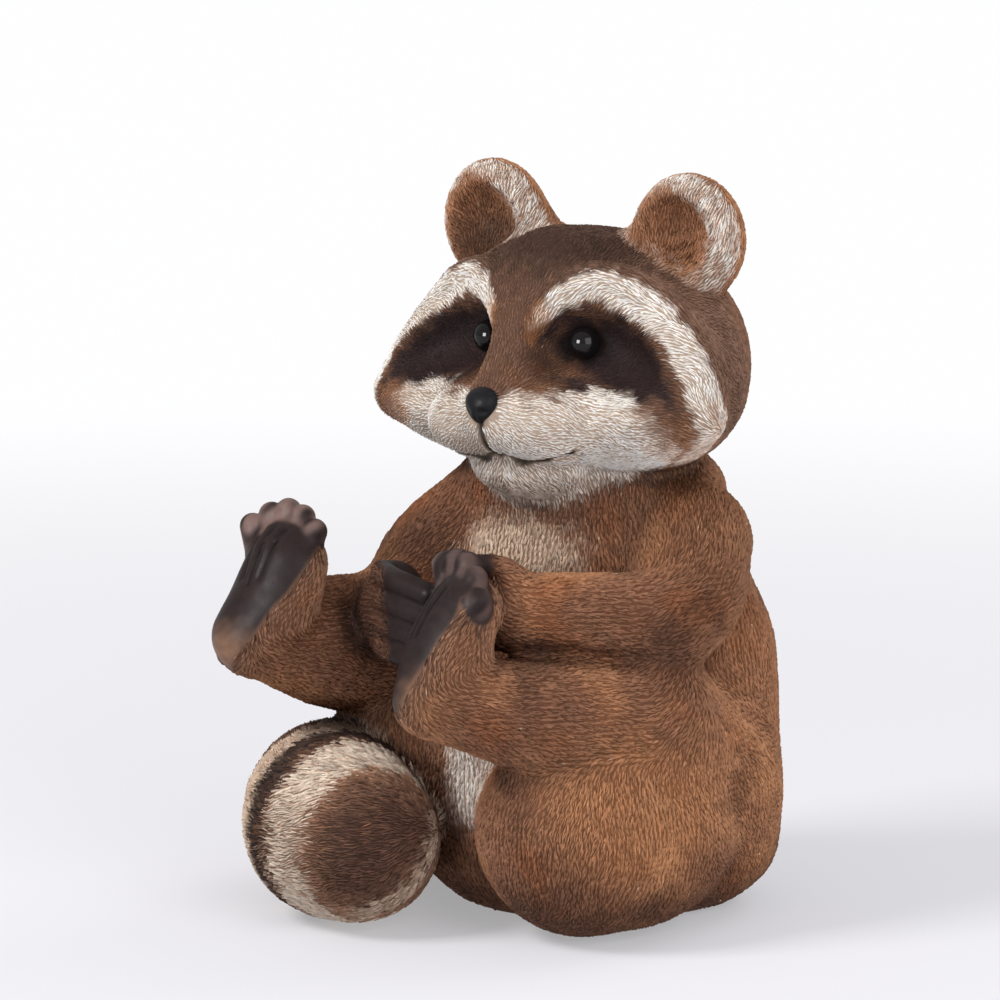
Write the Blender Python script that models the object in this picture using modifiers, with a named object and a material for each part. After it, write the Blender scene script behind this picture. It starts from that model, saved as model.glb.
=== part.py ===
"""Seated raccoon statue, one painted resin casting, divided into its named parts by thin cuts.

The statue faces -Y, its left side is +X, and it sits on the floor at z = 0.
"""

import math

import bmesh
import bpy
import numpy as np
from mathutils import Euler

MM = 0.001
FLOOR = -1.6
CLAY_GRAIN = 2.4
CUTTER_GRAIN = 4.0
CLAY_TRIANGLES = 2700
PART_GAP = 0.3
EYE_RADIUS = 6.4
EYE_CENTRE = (22.0, -16.5, 216.5)
NOSE_CENTRE = (0.0, -49.0, 194.5)
NOSE_RADII = (7.0, 6.8, 7.0)
NOSE_TAPER = 0.22
SEAT_GAP = 0.25
FLAT_ANGLE = 2.5
SHARP_ANGLE = 48.0
NUDGES = (0.0, 0.2, -0.2, 0.4)
REACH = 20.0
FAR = 30.0
TOE_RADIUS = 5.0
FINGER_RADIUS = 4.4
FINGER_PITCH = 9.0


# ---------------------------------------------------------------- forms, in millimetres

def egg(centre, radii, turn=(0.0, 0.0, 0.0)):
    """An ellipsoid: centre, half-axes, and its turn about X, Y and Z in degrees."""
    spin = Euler([math.radians(a) for a in turn]).to_matrix()
    return {"centre": np.array(centre, float), "radii": np.array(radii, float), "spin": np.array(spin)}


def rope(*stations, steps=4):
    """A round limb through stations (x, y, z, radius), rounded at both ends."""
    knots = np.array(stations, float)
    if len(knots) > 2:
        before = np.vstack([2 * knots[0] - knots[1], knots])
        ringed = np.vstack([before, 2 * knots[-1] - knots[-2]])
        path = []
        for i in range(1, len(ringed) - 2):
            a, b, c, d = ringed[i - 1:i + 3]
            for t in np.arange(steps) / steps:
                path.append(0.5 * (2 * b + (c - a) * t + (2 * a - 5 * b + 4 * c - d) * t ** 2
                                   + (3 * b - a - 3 * c + d) * t ** 3))
        knots = np.vstack([path, knots[-1]])
    return {"stations": knots}


def mirrored(form):
    """The same form on the other side of the body."""
    flip = np.array([-1.0, 1.0, 1.0])
    if "stations" in form:
        return {"stations": form["stations"] * np.append(flip, 1.0)}
    return {"centre": form["centre"] * flip, "radii": form["radii"],
            "spin": np.diag(flip) @ form["spin"] @ np.diag(flip)}


def both(*forms):
    return list(forms) + [mirrored(form) for form in forms]


def depth(form, p):
    """Signed distance in mm from each point to the form, negative inside; FAR where it is well away."""
    if "stations" in form:
        knots = form["stations"]
        low = (knots[:, :3] - knots[:, 3:]).min(axis=0) - REACH
        high = (knots[:, :3] + knots[:, 3:]).max(axis=0) + REACH
    else:
        low = form["centre"] - form["radii"].max() - REACH
        high = form["centre"] + form["radii"].max() + REACH
    near = ((p > low) & (p < high)).all(axis=1)
    found = np.full(len(p), FAR)
    q = p[near]
    if "stations" in form:
        best = np.full(len(q), FAR)
        for a, b in zip(knots[:-1], knots[1:]):
            along = b[:3] - a[:3]
            from_a = q - a[:3]
            t = np.clip((from_a @ along) / (along @ along), 0.0, 1.0)
            from_a -= t[:, None] * along
            away = np.sqrt(np.einsum("ij,ij->i", from_a, from_a))
            best = np.minimum(best, away - (a[3] + t * (b[3] - a[3])))
        found[near] = best
        return found
    local = (q - form["centre"]) @ form["spin"] / form["radii"]
    k0 = np.sqrt(np.einsum("ij,ij->i", local, local))
    local /= form["radii"]
    k1 = np.sqrt(np.einsum("ij,ij->i", local, local))
    found[near] = k0 * (k0 - 1.0) / np.maximum(k1, 1e-6)
    return found


def melt(a, b, soft):
    """Union of two distances with a fillet about `soft` wide."""
    h = np.clip(0.5 + 0.5 * (b - a) / soft, 0.0, 1.0)
    return b + (a - b) * h - soft * h * (1.0 - h)


def melt_all(forms, p, soft):
    total = depth(forms[0], p)
    for form in forms[1:]:
        total = melt(total, depth(form, p), soft)
    return total


def carve(solid, hollow, soft):
    """Solid less hollow, with a softened lip."""
    return -melt(-solid, hollow, soft)


# ---------------------------------------------------------------- the animal

def fingers(*joints, count=4):
    """Fingers side by side down the hand, the uppermost through the joints."""
    drops = [FINGER_PITCH * i for i in range(count)]
    return [rope(*[(x, y, z - drop, FINGER_RADIUS) for x, y, z in joints]) for drop in drops]


def toes(ball, side, up, out, count=5):
    """Toe pads in a fan along the end of the foot."""
    ball, side, up, out = (np.array(v, float) for v in (ball, side, up, out))
    made = []
    for i in range(count):
        s = (i - (count - 1) / 2) / ((count - 1) / 2)
        root = ball + side * 9.5 * s + up * (3.0 - 4.5 * abs(s) ** 1.6)
        tip = ball + side * 14.0 * s + up * (15.0 - 7.0 * abs(s) ** 1.8) + out * 1.5
        made.append(rope((*root, TOE_RADIUS * 0.95), (*tip, TOE_RADIUS)))
    return made


SKULL = [
    egg((0, 17, 208.5), (66.5, 49, 49)),
    egg((0, 0, 194), (67, 33, 30.5)),
    *both(egg((45, 2, 200), (30, 31, 27))),
    *both(rope((54, -4, 198, 18), (69, -11, 191, 9))),
]
BRIDGE = [
    rope((0, -4, 236, 22), (0, -18, 222, 16), (0, -31, 207, 11), (0, -43, 196, 8)),
]
MUZZLE = [
    *both(egg((16, -27, 187), (21, 23, 15.5), (0, 4, 0))),
    *both(egg((44, -15, 189), (26, 18, 13.5), (0, -10, 0))),
    egg((0, -38, 188), (12, 14, 12)),
]
CHIN = [egg((0, -20, 169), (24, 18, 12))]
BROWS = both(rope((9, -24, 224, 4), (14, -20, 234, 5), (27, -14, 240, 6), (40, -9, 237, 6.5),
                  (50, -5, 229, 7), (60, -4, 217, 7), (67, -7, 204, 7), (71, -11, 192, 7)))
SOCKETS = both(egg((38, -30, 213), (27, 19, 14), (0, 22, -14)), egg((22, -29, 216), (13, 16, 12)))
MOUTH = [rope((-31, -31, 176, 1.6), (-16, -46, 172.5, 1.6), (0, -50, 175, 1.6),
              (16, -46, 172.5, 1.6), (31, -31, 176, 1.6)),
         rope((0, -51, 174, 1.5), (0, -53, 190, 1.5))]
EARS = [
    egg((44.5, 20, 254.5), (23.5, 12.5, 24.5), (4, 10, 4)),
    egg((-46, 20, 256), (24.5, 12.5, 25.5), (4, -10, -4)),
    *both(rope((38, 22, 262, 9), (26, 22, 250, 10))),
]
EAR_CUPS = [
    egg((44, 6, 254.5), (15.5, 15, 16.5), (4, 10, 4)),
    egg((-45.5, 6, 256), (16, 15, 17), (4, -10, -4)),
]

NECK = [egg((0, 20, 158), (56, 40, 24))]
TRUNK = [
    egg((0, 19, 132), (58, 42, 38)),
    egg((0, 26, 89), (74, 53, 62)),
    egg((0, 22, 48), (77, 57, 56)),
    egg((0, 19, 22), (77, 55, 32)),
    egg((0, -2, 62), (56, 58, 58)),
    egg((0, -8, 34), (54, 46, 38)),
]
HAUNCHES = [
    rope((45, 11, 47, 41), (42, -44, 39, 40)),
    rope((46, 12, 52, 38), (54, -20, 70, 32)),
    rope((57, -22, 74, 29), (50, -18, 42, 38)),
    egg((48, -26, 27), (34, 46, 28)),
    rope((-44, 12, 42, 42), (-46, -26, 48, 36)),
]
SHIN_LEFT = [rope((56, -26, 76, 28), (38, -66, 84, 21.5), (19, -91, 91, 16))]
SHIN_RIGHT = [rope((-60, -24, 94, 29), (-68, -58, 100, 25), (-74, -85, 107, 19))]
FOOT_LEFT = [
    rope((11, -101, 92, 10.5), (14.5, -94, 107, 13), (19, -86, 124, 12)),
    egg((16, -92, 110), (15, 12, 25), (-18, 0, -34)),
]
FOOT_RIGHT = [
    rope((-76, -98, 106, 11.5), (-70, -91, 118, 12), (-66, -85, 134, 12)),
    egg((-66.5, -88, 126), (16, 10.5, 23), (-20, 8, 4)),
]
TOES_LEFT = toes((18, -87, 126), (0.84, -0.42, -0.32), (0.10, 0.33, 0.94), (-0.62, -0.72, 0.3))
TOES_RIGHT = toes((-71, -83, 138), (0.99, 0.1, 0.0), (0.10, 0.33, 0.93), (0.1, -0.94, 0.3))
ARM_LEFT = [rope((50, 12, 140, 24.5), (59, -2, 124, 22), (62, -16, 114, 18))]
ARM_RIGHT = [rope((-46, 12, 139, 24), (-56, -4, 127, 22), (-60, -18, 114, 18))]
FOREARM_LEFT = [rope((60, -20, 116, 18), (46, -42, 119, 16), (28, -58, 120, 15.5))]
FOREARM_RIGHT = [rope((-58, -20, 113, 17), (-50, -42, 114, 15), (-38, -56, 116, 13))]
HAND_LEFT = [egg((21, -65, 125), (14, 9, 16), (0, 0, -35))]
HAND_RIGHT = [egg((-32, -62, 117), (13, 9, 18), (0, 0, 25))]
FINGERS_LEFT = fingers((16, -68, 138), (4, -76, 138))
FINGERS_RIGHT = fingers((-34, -67, 131), (-20, -76, 130), (-4, -78, 127))
TAIL_BASE = [rope((-30, 62, 22, 18), (-64, 44, 25, 22), (-80, 14, 28, 26))]
TAIL_MIDDLE = [rope((-80, 14, 28, 26), (-80, -24, 31, 30), (-68, -54, 34, 34))]
TAIL_TIP = [rope((-68, -54, 34, 34), (-50, -76, 34, 35), (-33, -84, 32, 31))]
TAIL = TAIL_BASE + TAIL_MIDDLE + TAIL_TIP


def head_field(p):
    head = melt_all(SKULL, p, 12.0)
    head = melt(head, melt_all(MUZZLE, p, 7.0), 6.0)
    head = melt(head, melt_all(CHIN, p, 4.0), 5.0)
    head = melt(head, melt_all(BRIDGE, p, 6.0), 9.0)
    head = carve(head, melt_all(SOCKETS, p, 4.0), 6.0)
    head = melt(head, melt_all(BROWS, p, 3.0), 6.5)
    ears = carve(melt_all(EARS, p, 6.0), melt_all(EAR_CUPS, p, 1.0), 4.0)
    head = melt(head, ears, 6.0)
    return carve(head, melt_all(MOUTH, p, 1.5), 1.5)


def body_field(p):
    body = melt_all(TRUNK, p, 18.0)
    body = melt(body, melt_all(NECK, p, 6.0), 10.0)
    return melt(body, melt_all(HAUNCHES, p, 2.0), 6.0)


def arms_field(p):
    sides = [(ARM_LEFT + FOREARM_LEFT, HAND_LEFT + FINGERS_LEFT),
             (ARM_RIGHT + FOREARM_RIGHT, HAND_RIGHT + FINGERS_RIGHT)]
    return np.minimum(*[melt(melt_all(arm, p, 6.0), melt_all(hand, p, 2.5), 5.0) for arm, hand in sides])


def legs_field(p):
    sides = [(SHIN_LEFT + FOOT_LEFT, TOES_LEFT), (SHIN_RIGHT + FOOT_RIGHT, TOES_RIGHT)]
    return np.minimum(*[melt(melt_all(leg, p, 9.0), melt_all(pads, p, 1.5), 3.5) for leg, pads in sides])


def statue_field(p):
    """Signed distance from the statue's carved surface, before its base is cut flat."""
    statue = melt(body_field(p), legs_field(p), 7.0)
    statue = melt(statue, arms_field(p), 6.0)
    statue = melt(statue, head_field(p), 5.0)
    return melt(statue, melt_all(TAIL, p, 4.0), 3.0)


HEAD_FORMS = SKULL + BRIDGE + MUZZLE + CHIN + BROWS
LEG_FORMS = SHIN_LEFT + FOOT_LEFT + TOES_LEFT + SHIN_RIGHT + FOOT_RIGHT + TOES_RIGHT
ARM_FORMS = (ARM_LEFT + FOREARM_LEFT + HAND_LEFT + FINGERS_LEFT
             + ARM_RIGHT + FOREARM_RIGHT + HAND_RIGHT + FINGERS_RIGHT)
ALL_FORMS = HEAD_FORMS + EARS + NECK + TRUNK + HAUNCHES + LEG_FORMS + ARM_FORMS + TAIL


# ---------------------------------------------------------------- meshing

def ball(subdivisions):
    """Points and faces of a unit ball."""
    bm = bmesh.new()
    bmesh.ops.create_icosphere(bm, subdivisions=subdivisions, radius=1.0)
    points = np.array([v.co[:] for v in bm.verts])
    faces = np.array([[v.index for v in f.verts] for f in bm.faces])
    bm.free()
    return points, faces


def balls_of(form, spread):
    """The form as (centre, matrix) of the balls that fill it, in mm, grown by `spread`."""
    if "stations" not in form:
        return [(form["centre"], form["spin"] * (form["radii"] + spread))]
    made = []
    knots = form["stations"]
    for a, b in zip(knots[:-1], knots[1:]):
        count = max(1, math.ceil(np.linalg.norm(b[:3] - a[:3]) / (0.4 * min(a[3], b[3]))))
        made += [a + (b - a) * i / count for i in range(count)]
    made.append(knots[-1])
    return [(k[:3], np.eye(3) * (k[3] + spread)) for k in made]


def apply_modifiers(obj):
    graph = bpy.context.evaluated_depsgraph_get()
    mesh = bpy.data.meshes.new_from_object(obj.evaluated_get(graph), depsgraph=graph)
    obj.modifiers.clear()
    old = obj.data
    obj.data = mesh
    bpy.data.meshes.remove(old)


def reskin(obj, grain):
    """One closed skin of even grain round everything in the object."""
    step = obj.modifiers.new("skin", "REMESH")
    step.mode = "VOXEL"
    step.voxel_size = grain * MM
    apply_modifiers(obj)


def thin_out(obj, triangles):
    """Fewer triangles, kept where the surface bends."""
    obj.data.calc_loop_triangles()
    step = obj.modifiers.new("thin", "DECIMATE")
    step.ratio = min(1.0, triangles / len(obj.data.loop_triangles))
    apply_modifiers(obj)


def filled(name, forms, grain, spread=0.0):
    """A closed mesh of the forms, each grown by `spread` mm."""
    points, faces, count = [], [], 0
    for form in forms:
        unit, sides = ball(2 if "stations" in form else 4)
        for centre, shape in balls_of(form, spread):
            points.append((unit @ shape.T + centre) * MM)
            faces.append(sides + count)
            count += len(unit)
    mesh = bpy.data.meshes.new(name)
    mesh.from_pydata(np.vstack(points).tolist(), [], np.vstack(faces).tolist())
    obj = bpy.data.objects.new(name, mesh)
    bpy.context.scene.collection.objects.link(obj)
    reskin(obj, grain)
    return obj


def settle(obj, field, passes=6, ease=0.35):
    """Moves every vertex onto the field's surface, evening the mesh as it goes."""
    mesh = obj.data
    count = len(mesh.vertices)
    flat = np.empty(count * 3, np.float32)
    mesh.vertices.foreach_get("co", flat)
    p = flat.reshape(-1, 3).astype(float) / MM
    ends = np.empty(len(mesh.edges) * 2, np.int32)
    mesh.edges.foreach_get("vertices", ends)
    ends = ends.reshape(-1, 2)
    valence = np.bincount(ends.ravel(), minlength=count)[:, None]
    h = 0.4
    axes = np.eye(3) * h
    for turn in range(passes):
        if turn < passes - 2:
            total = np.zeros_like(p)
            np.add.at(total, ends[:, 0], p[ends[:, 1]])
            np.add.at(total, ends[:, 1], p[ends[:, 0]])
            p += ease * (total / valence - p)
        value = field(p)
        slope = np.stack([field(p + axis) - field(p - axis) for axis in axes], axis=1) / (2 * h)
        steep = np.maximum((slope ** 2).sum(axis=1), 0.2)
        p -= np.clip(value / steep, -6.0, 6.0)[:, None] * slope
    mesh.vertices.foreach_set("co", (p * MM).astype(np.float32).ravel())
    mesh.update()


def boolean(obj, tool, operation):
    step = obj.modifiers.new("cut", "BOOLEAN")
    step.operation = operation
    step.solver = "EXACT"
    step.object = tool
    apply_modifiers(obj)


def volume_of(faces):
    total = 0.0
    for face in faces:
        first = face.verts[0].co
        for one, two in zip(face.verts[1:-1], face.verts[2:]):
            total += first.dot(one.co.cross(two.co)) / 6
    return total


def keep_largest(obj):
    """Leaves the largest closed body of the object as triangles, and returns the rest's volume in mm3."""
    for close in (0.00001, 0.000002, 0.0):
        bm = bmesh.new()
        bm.from_mesh(obj.data)
        if close:
            bmesh.ops.remove_doubles(bm, verts=bm.verts, dist=close)
            bmesh.ops.dissolve_degenerate(bm, edges=bm.edges, dist=close)
        bmesh.ops.triangulate(bm, faces=bm.faces)
        if not close or all(edge.is_manifold for edge in bm.edges):
            break
        bm.free()
    left, bodies = set(bm.faces), []
    while left:
        body, waiting = set(), [left.pop()]
        while waiting:
            face = waiting.pop()
            body.add(face)
            for edge in face.edges:
                for other in edge.link_faces:
                    if other in left:
                        left.remove(other)
                        waiting.append(other)
        bodies.append((volume_of(body), body))
    bodies.sort(key=lambda pair: -abs(pair[0]))
    stray = sum(abs(volume) for volume, _ in bodies[1:]) * 1e9
    for _, body in bodies[1:]:
        bmesh.ops.delete(bm, geom=list(body), context="FACES")
    bmesh.ops.delete(bm, geom=[v for v in bm.verts if not v.link_faces], context="VERTS")
    bm.to_mesh(obj.data)
    bm.free()
    return stray


def tidy(obj):
    """Drops needless points along the cuts where the body stays closed, and marks the cut edges sharp."""
    for flat in (FLAT_ANGLE, FLAT_ANGLE / 4, 0.0):
        bm = bmesh.new()
        bm.from_mesh(obj.data)
        if flat:
            bmesh.ops.remove_doubles(bm, verts=bm.verts, dist=0.00003)
            bmesh.ops.dissolve_limit(bm, angle_limit=math.radians(flat), verts=bm.verts, edges=bm.edges)
            bmesh.ops.triangulate(bm, faces=bm.faces)
        if all(edge.is_manifold for edge in bm.edges):
            bm.to_mesh(obj.data)
            bm.free()
            break
        bm.free()
    obj.data.shade_smooth()
    obj.data.set_sharp_from_angle(angle=math.radians(SHARP_ANGLE))


def grown(obj, amount):
    """A copy of the mesh with each of its faces moved out by about `amount` mm, and by no less."""
    bm = bmesh.new()
    bm.from_mesh(obj.data)
    bm.normal_update()
    moves = []
    for vertex in bm.verts:
        lean = min(vertex.normal.dot(face.normal) for face in vertex.link_faces)
        moves.append(vertex.normal * amount * MM / max(lean, 0.35))
    for vertex, move in zip(bm.verts, moves):
        vertex.co += move
    mesh = bpy.data.meshes.new(obj.name + "_grown")
    bm.to_mesh(mesh)
    bm.free()
    copy = bpy.data.objects.new(obj.name + "_grown", mesh)
    bpy.context.scene.collection.objects.link(copy)
    return copy


def part_off(rest, name, forms, spread, facets):
    """Takes the forms' share of `rest` as a body of its own, with a thin gap all round."""
    cutter = filled(name + "_cutter", forms, CUTTER_GRAIN, spread)
    settle(cutter, lambda p: melt_all(forms, p, 4.0) - spread, passes=3)
    thin_out(cutter, facets)
    for nudge in NUDGES:
        tool = grown(cutter, nudge)
        piece = bpy.data.objects.new(name, rest.data.copy())
        bpy.context.scene.collection.objects.link(piece)
        boolean(piece, tool, "INTERSECT")
        if len(piece.data.polygons) > 50:
            break
        for failed in (piece, tool):
            bpy.data.objects.remove(failed)
    wide = grown(tool, PART_GAP)
    boolean(rest, wide, "DIFFERENCE")
    stray, lost = keep_largest(piece), keep_largest(rest)
    print(name, len(piece.data.polygons), "faces; loose crumbs dropped, mm3:", round(stray + lost, 1))
    for used in (cutter, tool, wide):
        bpy.data.objects.remove(used)
    return piece


def one_side(forms, side):
    """The forms of a paired list that lie on one side, +1 left and -1 right."""
    across = [form["stations"][0][0] if "stations" in form else form["centre"][0] for form in forms]
    return [form for form, x in zip(forms, across) if x * side > 0]


PARTS = [
    # name, forms, spread in mm, facets of the cutter
    ("ear_left", one_side(EARS, 1), 2.4, 56),
    ("ear_right", one_side(EARS, -1), 2.4, 56),
    ("foot_left", FOOT_LEFT + TOES_LEFT, 2.4, 76),
    ("foot_right", FOOT_RIGHT + TOES_RIGHT, 2.4, 76),
    ("hand_left", HAND_LEFT + FINGERS_LEFT, 2.4, 70),
    ("hand_right", HAND_RIGHT + FINGERS_RIGHT, 2.4, 70),
    ("forearm_left", FOREARM_LEFT, 3.0, 44),
    ("forearm_right", FOREARM_RIGHT, 3.0, 44),
    ("shin_left", SHIN_LEFT, 3.0, 44),
    ("shin_right", SHIN_RIGHT, 3.0, 44),
    ("upper_arm_left", ARM_LEFT, 3.2, 44),
    ("upper_arm_right", ARM_RIGHT, 3.2, 44),
    ("tail_tip", TAIL_TIP, 4.0, 44),
    ("tail_middle", TAIL_MIDDLE, 4.0, 44),
    ("tail_base", TAIL_BASE, 4.0, 44),
    ("thigh_left", HAUNCHES[:-1], 3.4, 56),
    ("thigh_right", HAUNCHES[-1:], 3.4, 56),
    ("head", HEAD_FORMS, 5.0, 76),
    ("neck", NECK, 3.4, 44),
]


def ball_object(name, centre, radii, taper=0.0, segments=12, rings=8):
    """A ball stretched to the radii, narrower toward its foot by `taper`."""
    bm = bmesh.new()
    bmesh.ops.create_uvsphere(bm, u_segments=segments, v_segments=rings, radius=1.0)
    for vertex in bm.verts:
        x, y, z = vertex.co
        unit = (x * (1 + taper * z), y, z)
        vertex.co = [(c + r * v) * MM for c, r, v in zip(centre, radii, unit)]
    mesh = bpy.data.meshes.new(name)
    bm.to_mesh(mesh)
    bm.free()
    obj = bpy.data.objects.new(name, mesh)
    bpy.context.scene.collection.objects.link(obj)
    return obj


def seat(body, name, centre, radii, taper=0.0):
    """Sets a ball in the body, in a recess with a thin gap."""
    tool = ball_object("seat", centre, [r + SEAT_GAP for r in radii], taper)
    boolean(body, tool, "DIFFERENCE")
    bpy.data.objects.remove(tool)
    return ball_object(name, centre, radii, taper)


def flat_base(clay):
    bm = bmesh.new()
    bmesh.ops.create_cube(bm, size=0.6)
    for vertex in bm.verts:
        vertex.co.z += FLOOR * MM - 0.3
    mesh = bpy.data.meshes.new("floor")
    bm.to_mesh(mesh)
    bm.free()
    tool = bpy.data.objects.new("floor", mesh)
    bpy.context.scene.collection.objects.link(tool)
    boolean(clay, tool, "DIFFERENCE")
    bpy.data.objects.remove(tool)


COLOURS = {
    "head": (0.30, 0.20, 0.13),
    "ear": (0.42, 0.33, 0.25),
    "neck": (0.27, 0.17, 0.11),
    "trunk": (0.28, 0.18, 0.11),
    "upper": (0.27, 0.17, 0.10),
    "forearm": (0.27, 0.17, 0.10),
    "thigh": (0.32, 0.20, 0.12),
    "shin": (0.30, 0.19, 0.12),
    "hand": (0.10, 0.085, 0.08),
    "foot": (0.12, 0.10, 0.09),
    "eye": (0.008, 0.008, 0.01),
    "nose": (0.03, 0.03, 0.035),
    "tail": (0.33, 0.26, 0.20),
}


def paint(obj):
    colour = COLOURS[obj.name.split("_")[0]]
    material = bpy.data.materials.new("paint_" + obj.name)
    material.use_nodes = True
    shader = material.node_tree.nodes["Principled BSDF"]
    shader.inputs["Base Color"].default_value = (*colour, 1.0)
    shader.inputs["Metallic"].default_value = 0.0
    shader.inputs["Roughness"].default_value = 0.08 if obj.name.startswith("eye") else 0.6
    obj.data.materials.clear()
    obj.data.materials.append(material)


def main():
    for obj in list(bpy.data.objects):
        bpy.data.objects.remove(obj)
    clay = filled("trunk", ALL_FORMS, CLAY_GRAIN)
    settle(clay, statue_field, passes=4)
    reskin(clay, CLAY_GRAIN)
    settle(clay, statue_field, passes=4)
    reskin(clay, CLAY_GRAIN * 0.8)
    thin_out(clay, CLAY_TRIANGLES)
    flat_base(clay)
    eye_radii = (EYE_RADIUS,) * 3
    x, y, z = EYE_CENTRE
    pieces = [
        seat(clay, "eye_left", (x, y, z), eye_radii),
        seat(clay, "eye_right", (-x, y, z), eye_radii),
        seat(clay, "nose", NOSE_CENTRE, NOSE_RADII, NOSE_TAPER),
    ]
    pieces += [part_off(clay, *part) for part in PARTS]
    pieces.append(clay)
    corners = np.array([v.co[:] for piece in pieces for v in piece.data.vertices])
    low, high = corners.min(axis=0), corners.max(axis=0)
    shift = np.array([-(low[0] + high[0]) / 2, -(low[1] + high[1]) / 2, -low[2]])
    print("shift mm", shift / MM, "size mm", (high - low) / MM)
    home = bpy.data.collections.new("raccoon_statue")
    bpy.context.scene.collection.children.link(home)
    for piece in pieces:
        for vertex in piece.data.vertices:
            vertex.co += type(vertex.co)(shift)
        tidy(piece)
        bpy.context.scene.collection.objects.unlink(piece)
        home.objects.link(piece)
        paint(piece)


if __name__ == "__main__":
    main()
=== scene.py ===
import math
import time

import bmesh
import bpy
import numpy as np
from mathutils import Euler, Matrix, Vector


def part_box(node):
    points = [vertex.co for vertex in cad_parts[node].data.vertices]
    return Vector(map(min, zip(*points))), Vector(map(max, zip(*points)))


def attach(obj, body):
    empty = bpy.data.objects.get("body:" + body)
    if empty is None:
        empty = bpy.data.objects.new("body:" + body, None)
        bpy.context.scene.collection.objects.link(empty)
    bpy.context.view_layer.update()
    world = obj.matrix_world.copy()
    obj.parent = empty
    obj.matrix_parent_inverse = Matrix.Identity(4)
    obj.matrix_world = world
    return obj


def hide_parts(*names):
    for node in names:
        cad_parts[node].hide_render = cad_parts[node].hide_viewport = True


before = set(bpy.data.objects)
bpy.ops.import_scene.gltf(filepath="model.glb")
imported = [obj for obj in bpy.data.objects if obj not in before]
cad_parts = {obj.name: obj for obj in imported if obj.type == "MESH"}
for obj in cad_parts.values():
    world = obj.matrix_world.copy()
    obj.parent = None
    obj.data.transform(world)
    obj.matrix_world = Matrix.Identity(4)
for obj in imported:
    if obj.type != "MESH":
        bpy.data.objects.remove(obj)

# The statue's looks: one carved skin over the flesh, a coat of carved strokes on it, eyes and nose.
# Shapes are worked out in the carver's own millimetres: -Y is the way it faces, +X its left side.

startTime = time.time()
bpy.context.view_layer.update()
mm = 0.001
eyeCentre = (22.0, -16.5, 216.5)
eyeLow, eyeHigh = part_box("eye_left")
# the carver's origin in the frame
home = (np.array(eyeLow) + np.array(eyeHigh)) / 2 - np.array(eyeCentre) * mm
floorLevel = -home[2] / mm
reach, far = 20.0, 30.0  # past reach from a form, its distance is taken as far
ropeSteps = 4  # straight pieces from one station of a rope to the next
waveCount = 7  # ripples that make up an unevenness
stride = 4.0  # how far a point moves at most when it is brought onto a surface
flip = np.array([-1.0, 1.0, 1.0])


def stage(text):
    print(f"{time.time() - startTime:6.1f} s  {text}")


# Forms: an egg is an ellipsoid, a rope is a round limb through stations of x, y, z and radius.

def egg(centre, radii, turn=(0.0, 0.0, 0.0)):
    spin = Euler([math.radians(angle) for angle in turn]).to_matrix()
    return {"centre": np.array(centre, float), "radii": np.array(radii, float), "spin": np.array(spin)}


def rope(*stations):
    knots = np.array(stations, float)
    if len(knots) > 2:
        before = np.vstack([2 * knots[0] - knots[1], knots])
        ringed = np.vstack([before, 2 * knots[-1] - knots[-2]])
        path = []
        for i in range(1, len(ringed) - 2):
            a, b, c, d = ringed[i - 1:i + 3]
            for t in np.arange(ropeSteps) / ropeSteps:
                path.append(0.5 * (2 * b + (c - a) * t + (2 * a - 5 * b + 4 * c - d) * t ** 2
                                   + (3 * b - a - 3 * c + d) * t ** 3))
        knots = np.vstack([path, knots[-1]])
    return {"stations": knots}


def mirrored(form):
    if "stations" in form:
        return {"stations": form["stations"] * np.append(flip, 1.0)}
    return {"centre": form["centre"] * flip, "radii": form["radii"],
            "spin": np.diag(flip) @ form["spin"] @ np.diag(flip)}


def both(*forms):
    return list(forms) + [mirrored(form) for form in forms]


def distanceTo(form, p):
    # signed distance in mm from each point to the form, negative inside
    if "stations" in form:
        knots = form["stations"]
        low = (knots[:, :3] - knots[:, 3:]).min(axis=0) - reach
        high = (knots[:, :3] + knots[:, 3:]).max(axis=0) + reach
    else:
        low = form["centre"] - form["radii"].max() - reach
        high = form["centre"] + form["radii"].max() + reach
    near = ((p > low) & (p < high)).all(axis=1)
    found = np.full(len(p), far)
    q = p[near]
    if "stations" in form:
        best = np.full(len(q), far)
        for a, b in zip(knots[:-1], knots[1:]):
            along = b[:3] - a[:3]
            fromA = q - a[:3]
            t = np.clip((fromA @ along) / (along @ along), 0.0, 1.0)
            fromA -= t[:, None] * along
            away = np.sqrt(np.einsum("ij,ij->i", fromA, fromA))
            best = np.minimum(best, away - (a[3] + t * (b[3] - a[3])))
        found[near] = best
        return found
    local = (q - form["centre"]) @ form["spin"] / form["radii"]
    k0 = np.sqrt(np.einsum("ij,ij->i", local, local))
    local /= form["radii"]
    k1 = np.sqrt(np.einsum("ij,ij->i", local, local))
    found[near] = k0 * (k0 - 1.0) / np.maximum(k1, 1e-6)
    return found


def melt(a, b, soft):
    h = np.clip(0.5 + 0.5 * (b - a) / soft, 0.0, 1.0)
    return b + (a - b) * h - soft * h * (1.0 - h)


def meltAll(forms, p, soft):
    total = distanceTo(forms[0], p)
    for form in forms[1:]:
        total = melt(total, distanceTo(form, p), soft)
    return total


def carve(solid, hollow, soft):
    return -melt(-solid, hollow, soft)


def ease(x, low, high):
    t = np.clip((x - low) / (high - low), 0.0, 1.0)
    return t * t * (3.0 - 2.0 * t)


def waves(p, size, seed):
    # a smooth unevenness about -1 to 1, `size` mm from crest to crest
    dice = np.random.default_rng(seed)
    total = np.zeros(len(p))
    for _ in range(waveCount):
        way = dice.normal(size=3)
        way *= 2 * math.pi / (size * dice.uniform(0.6, 1.6) * np.linalg.norm(way))
        total += np.sin(p @ way + dice.uniform(0, 2 * math.pi))
    return total / math.sqrt(waveCount)


# The animal, as the solids have it.

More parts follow.
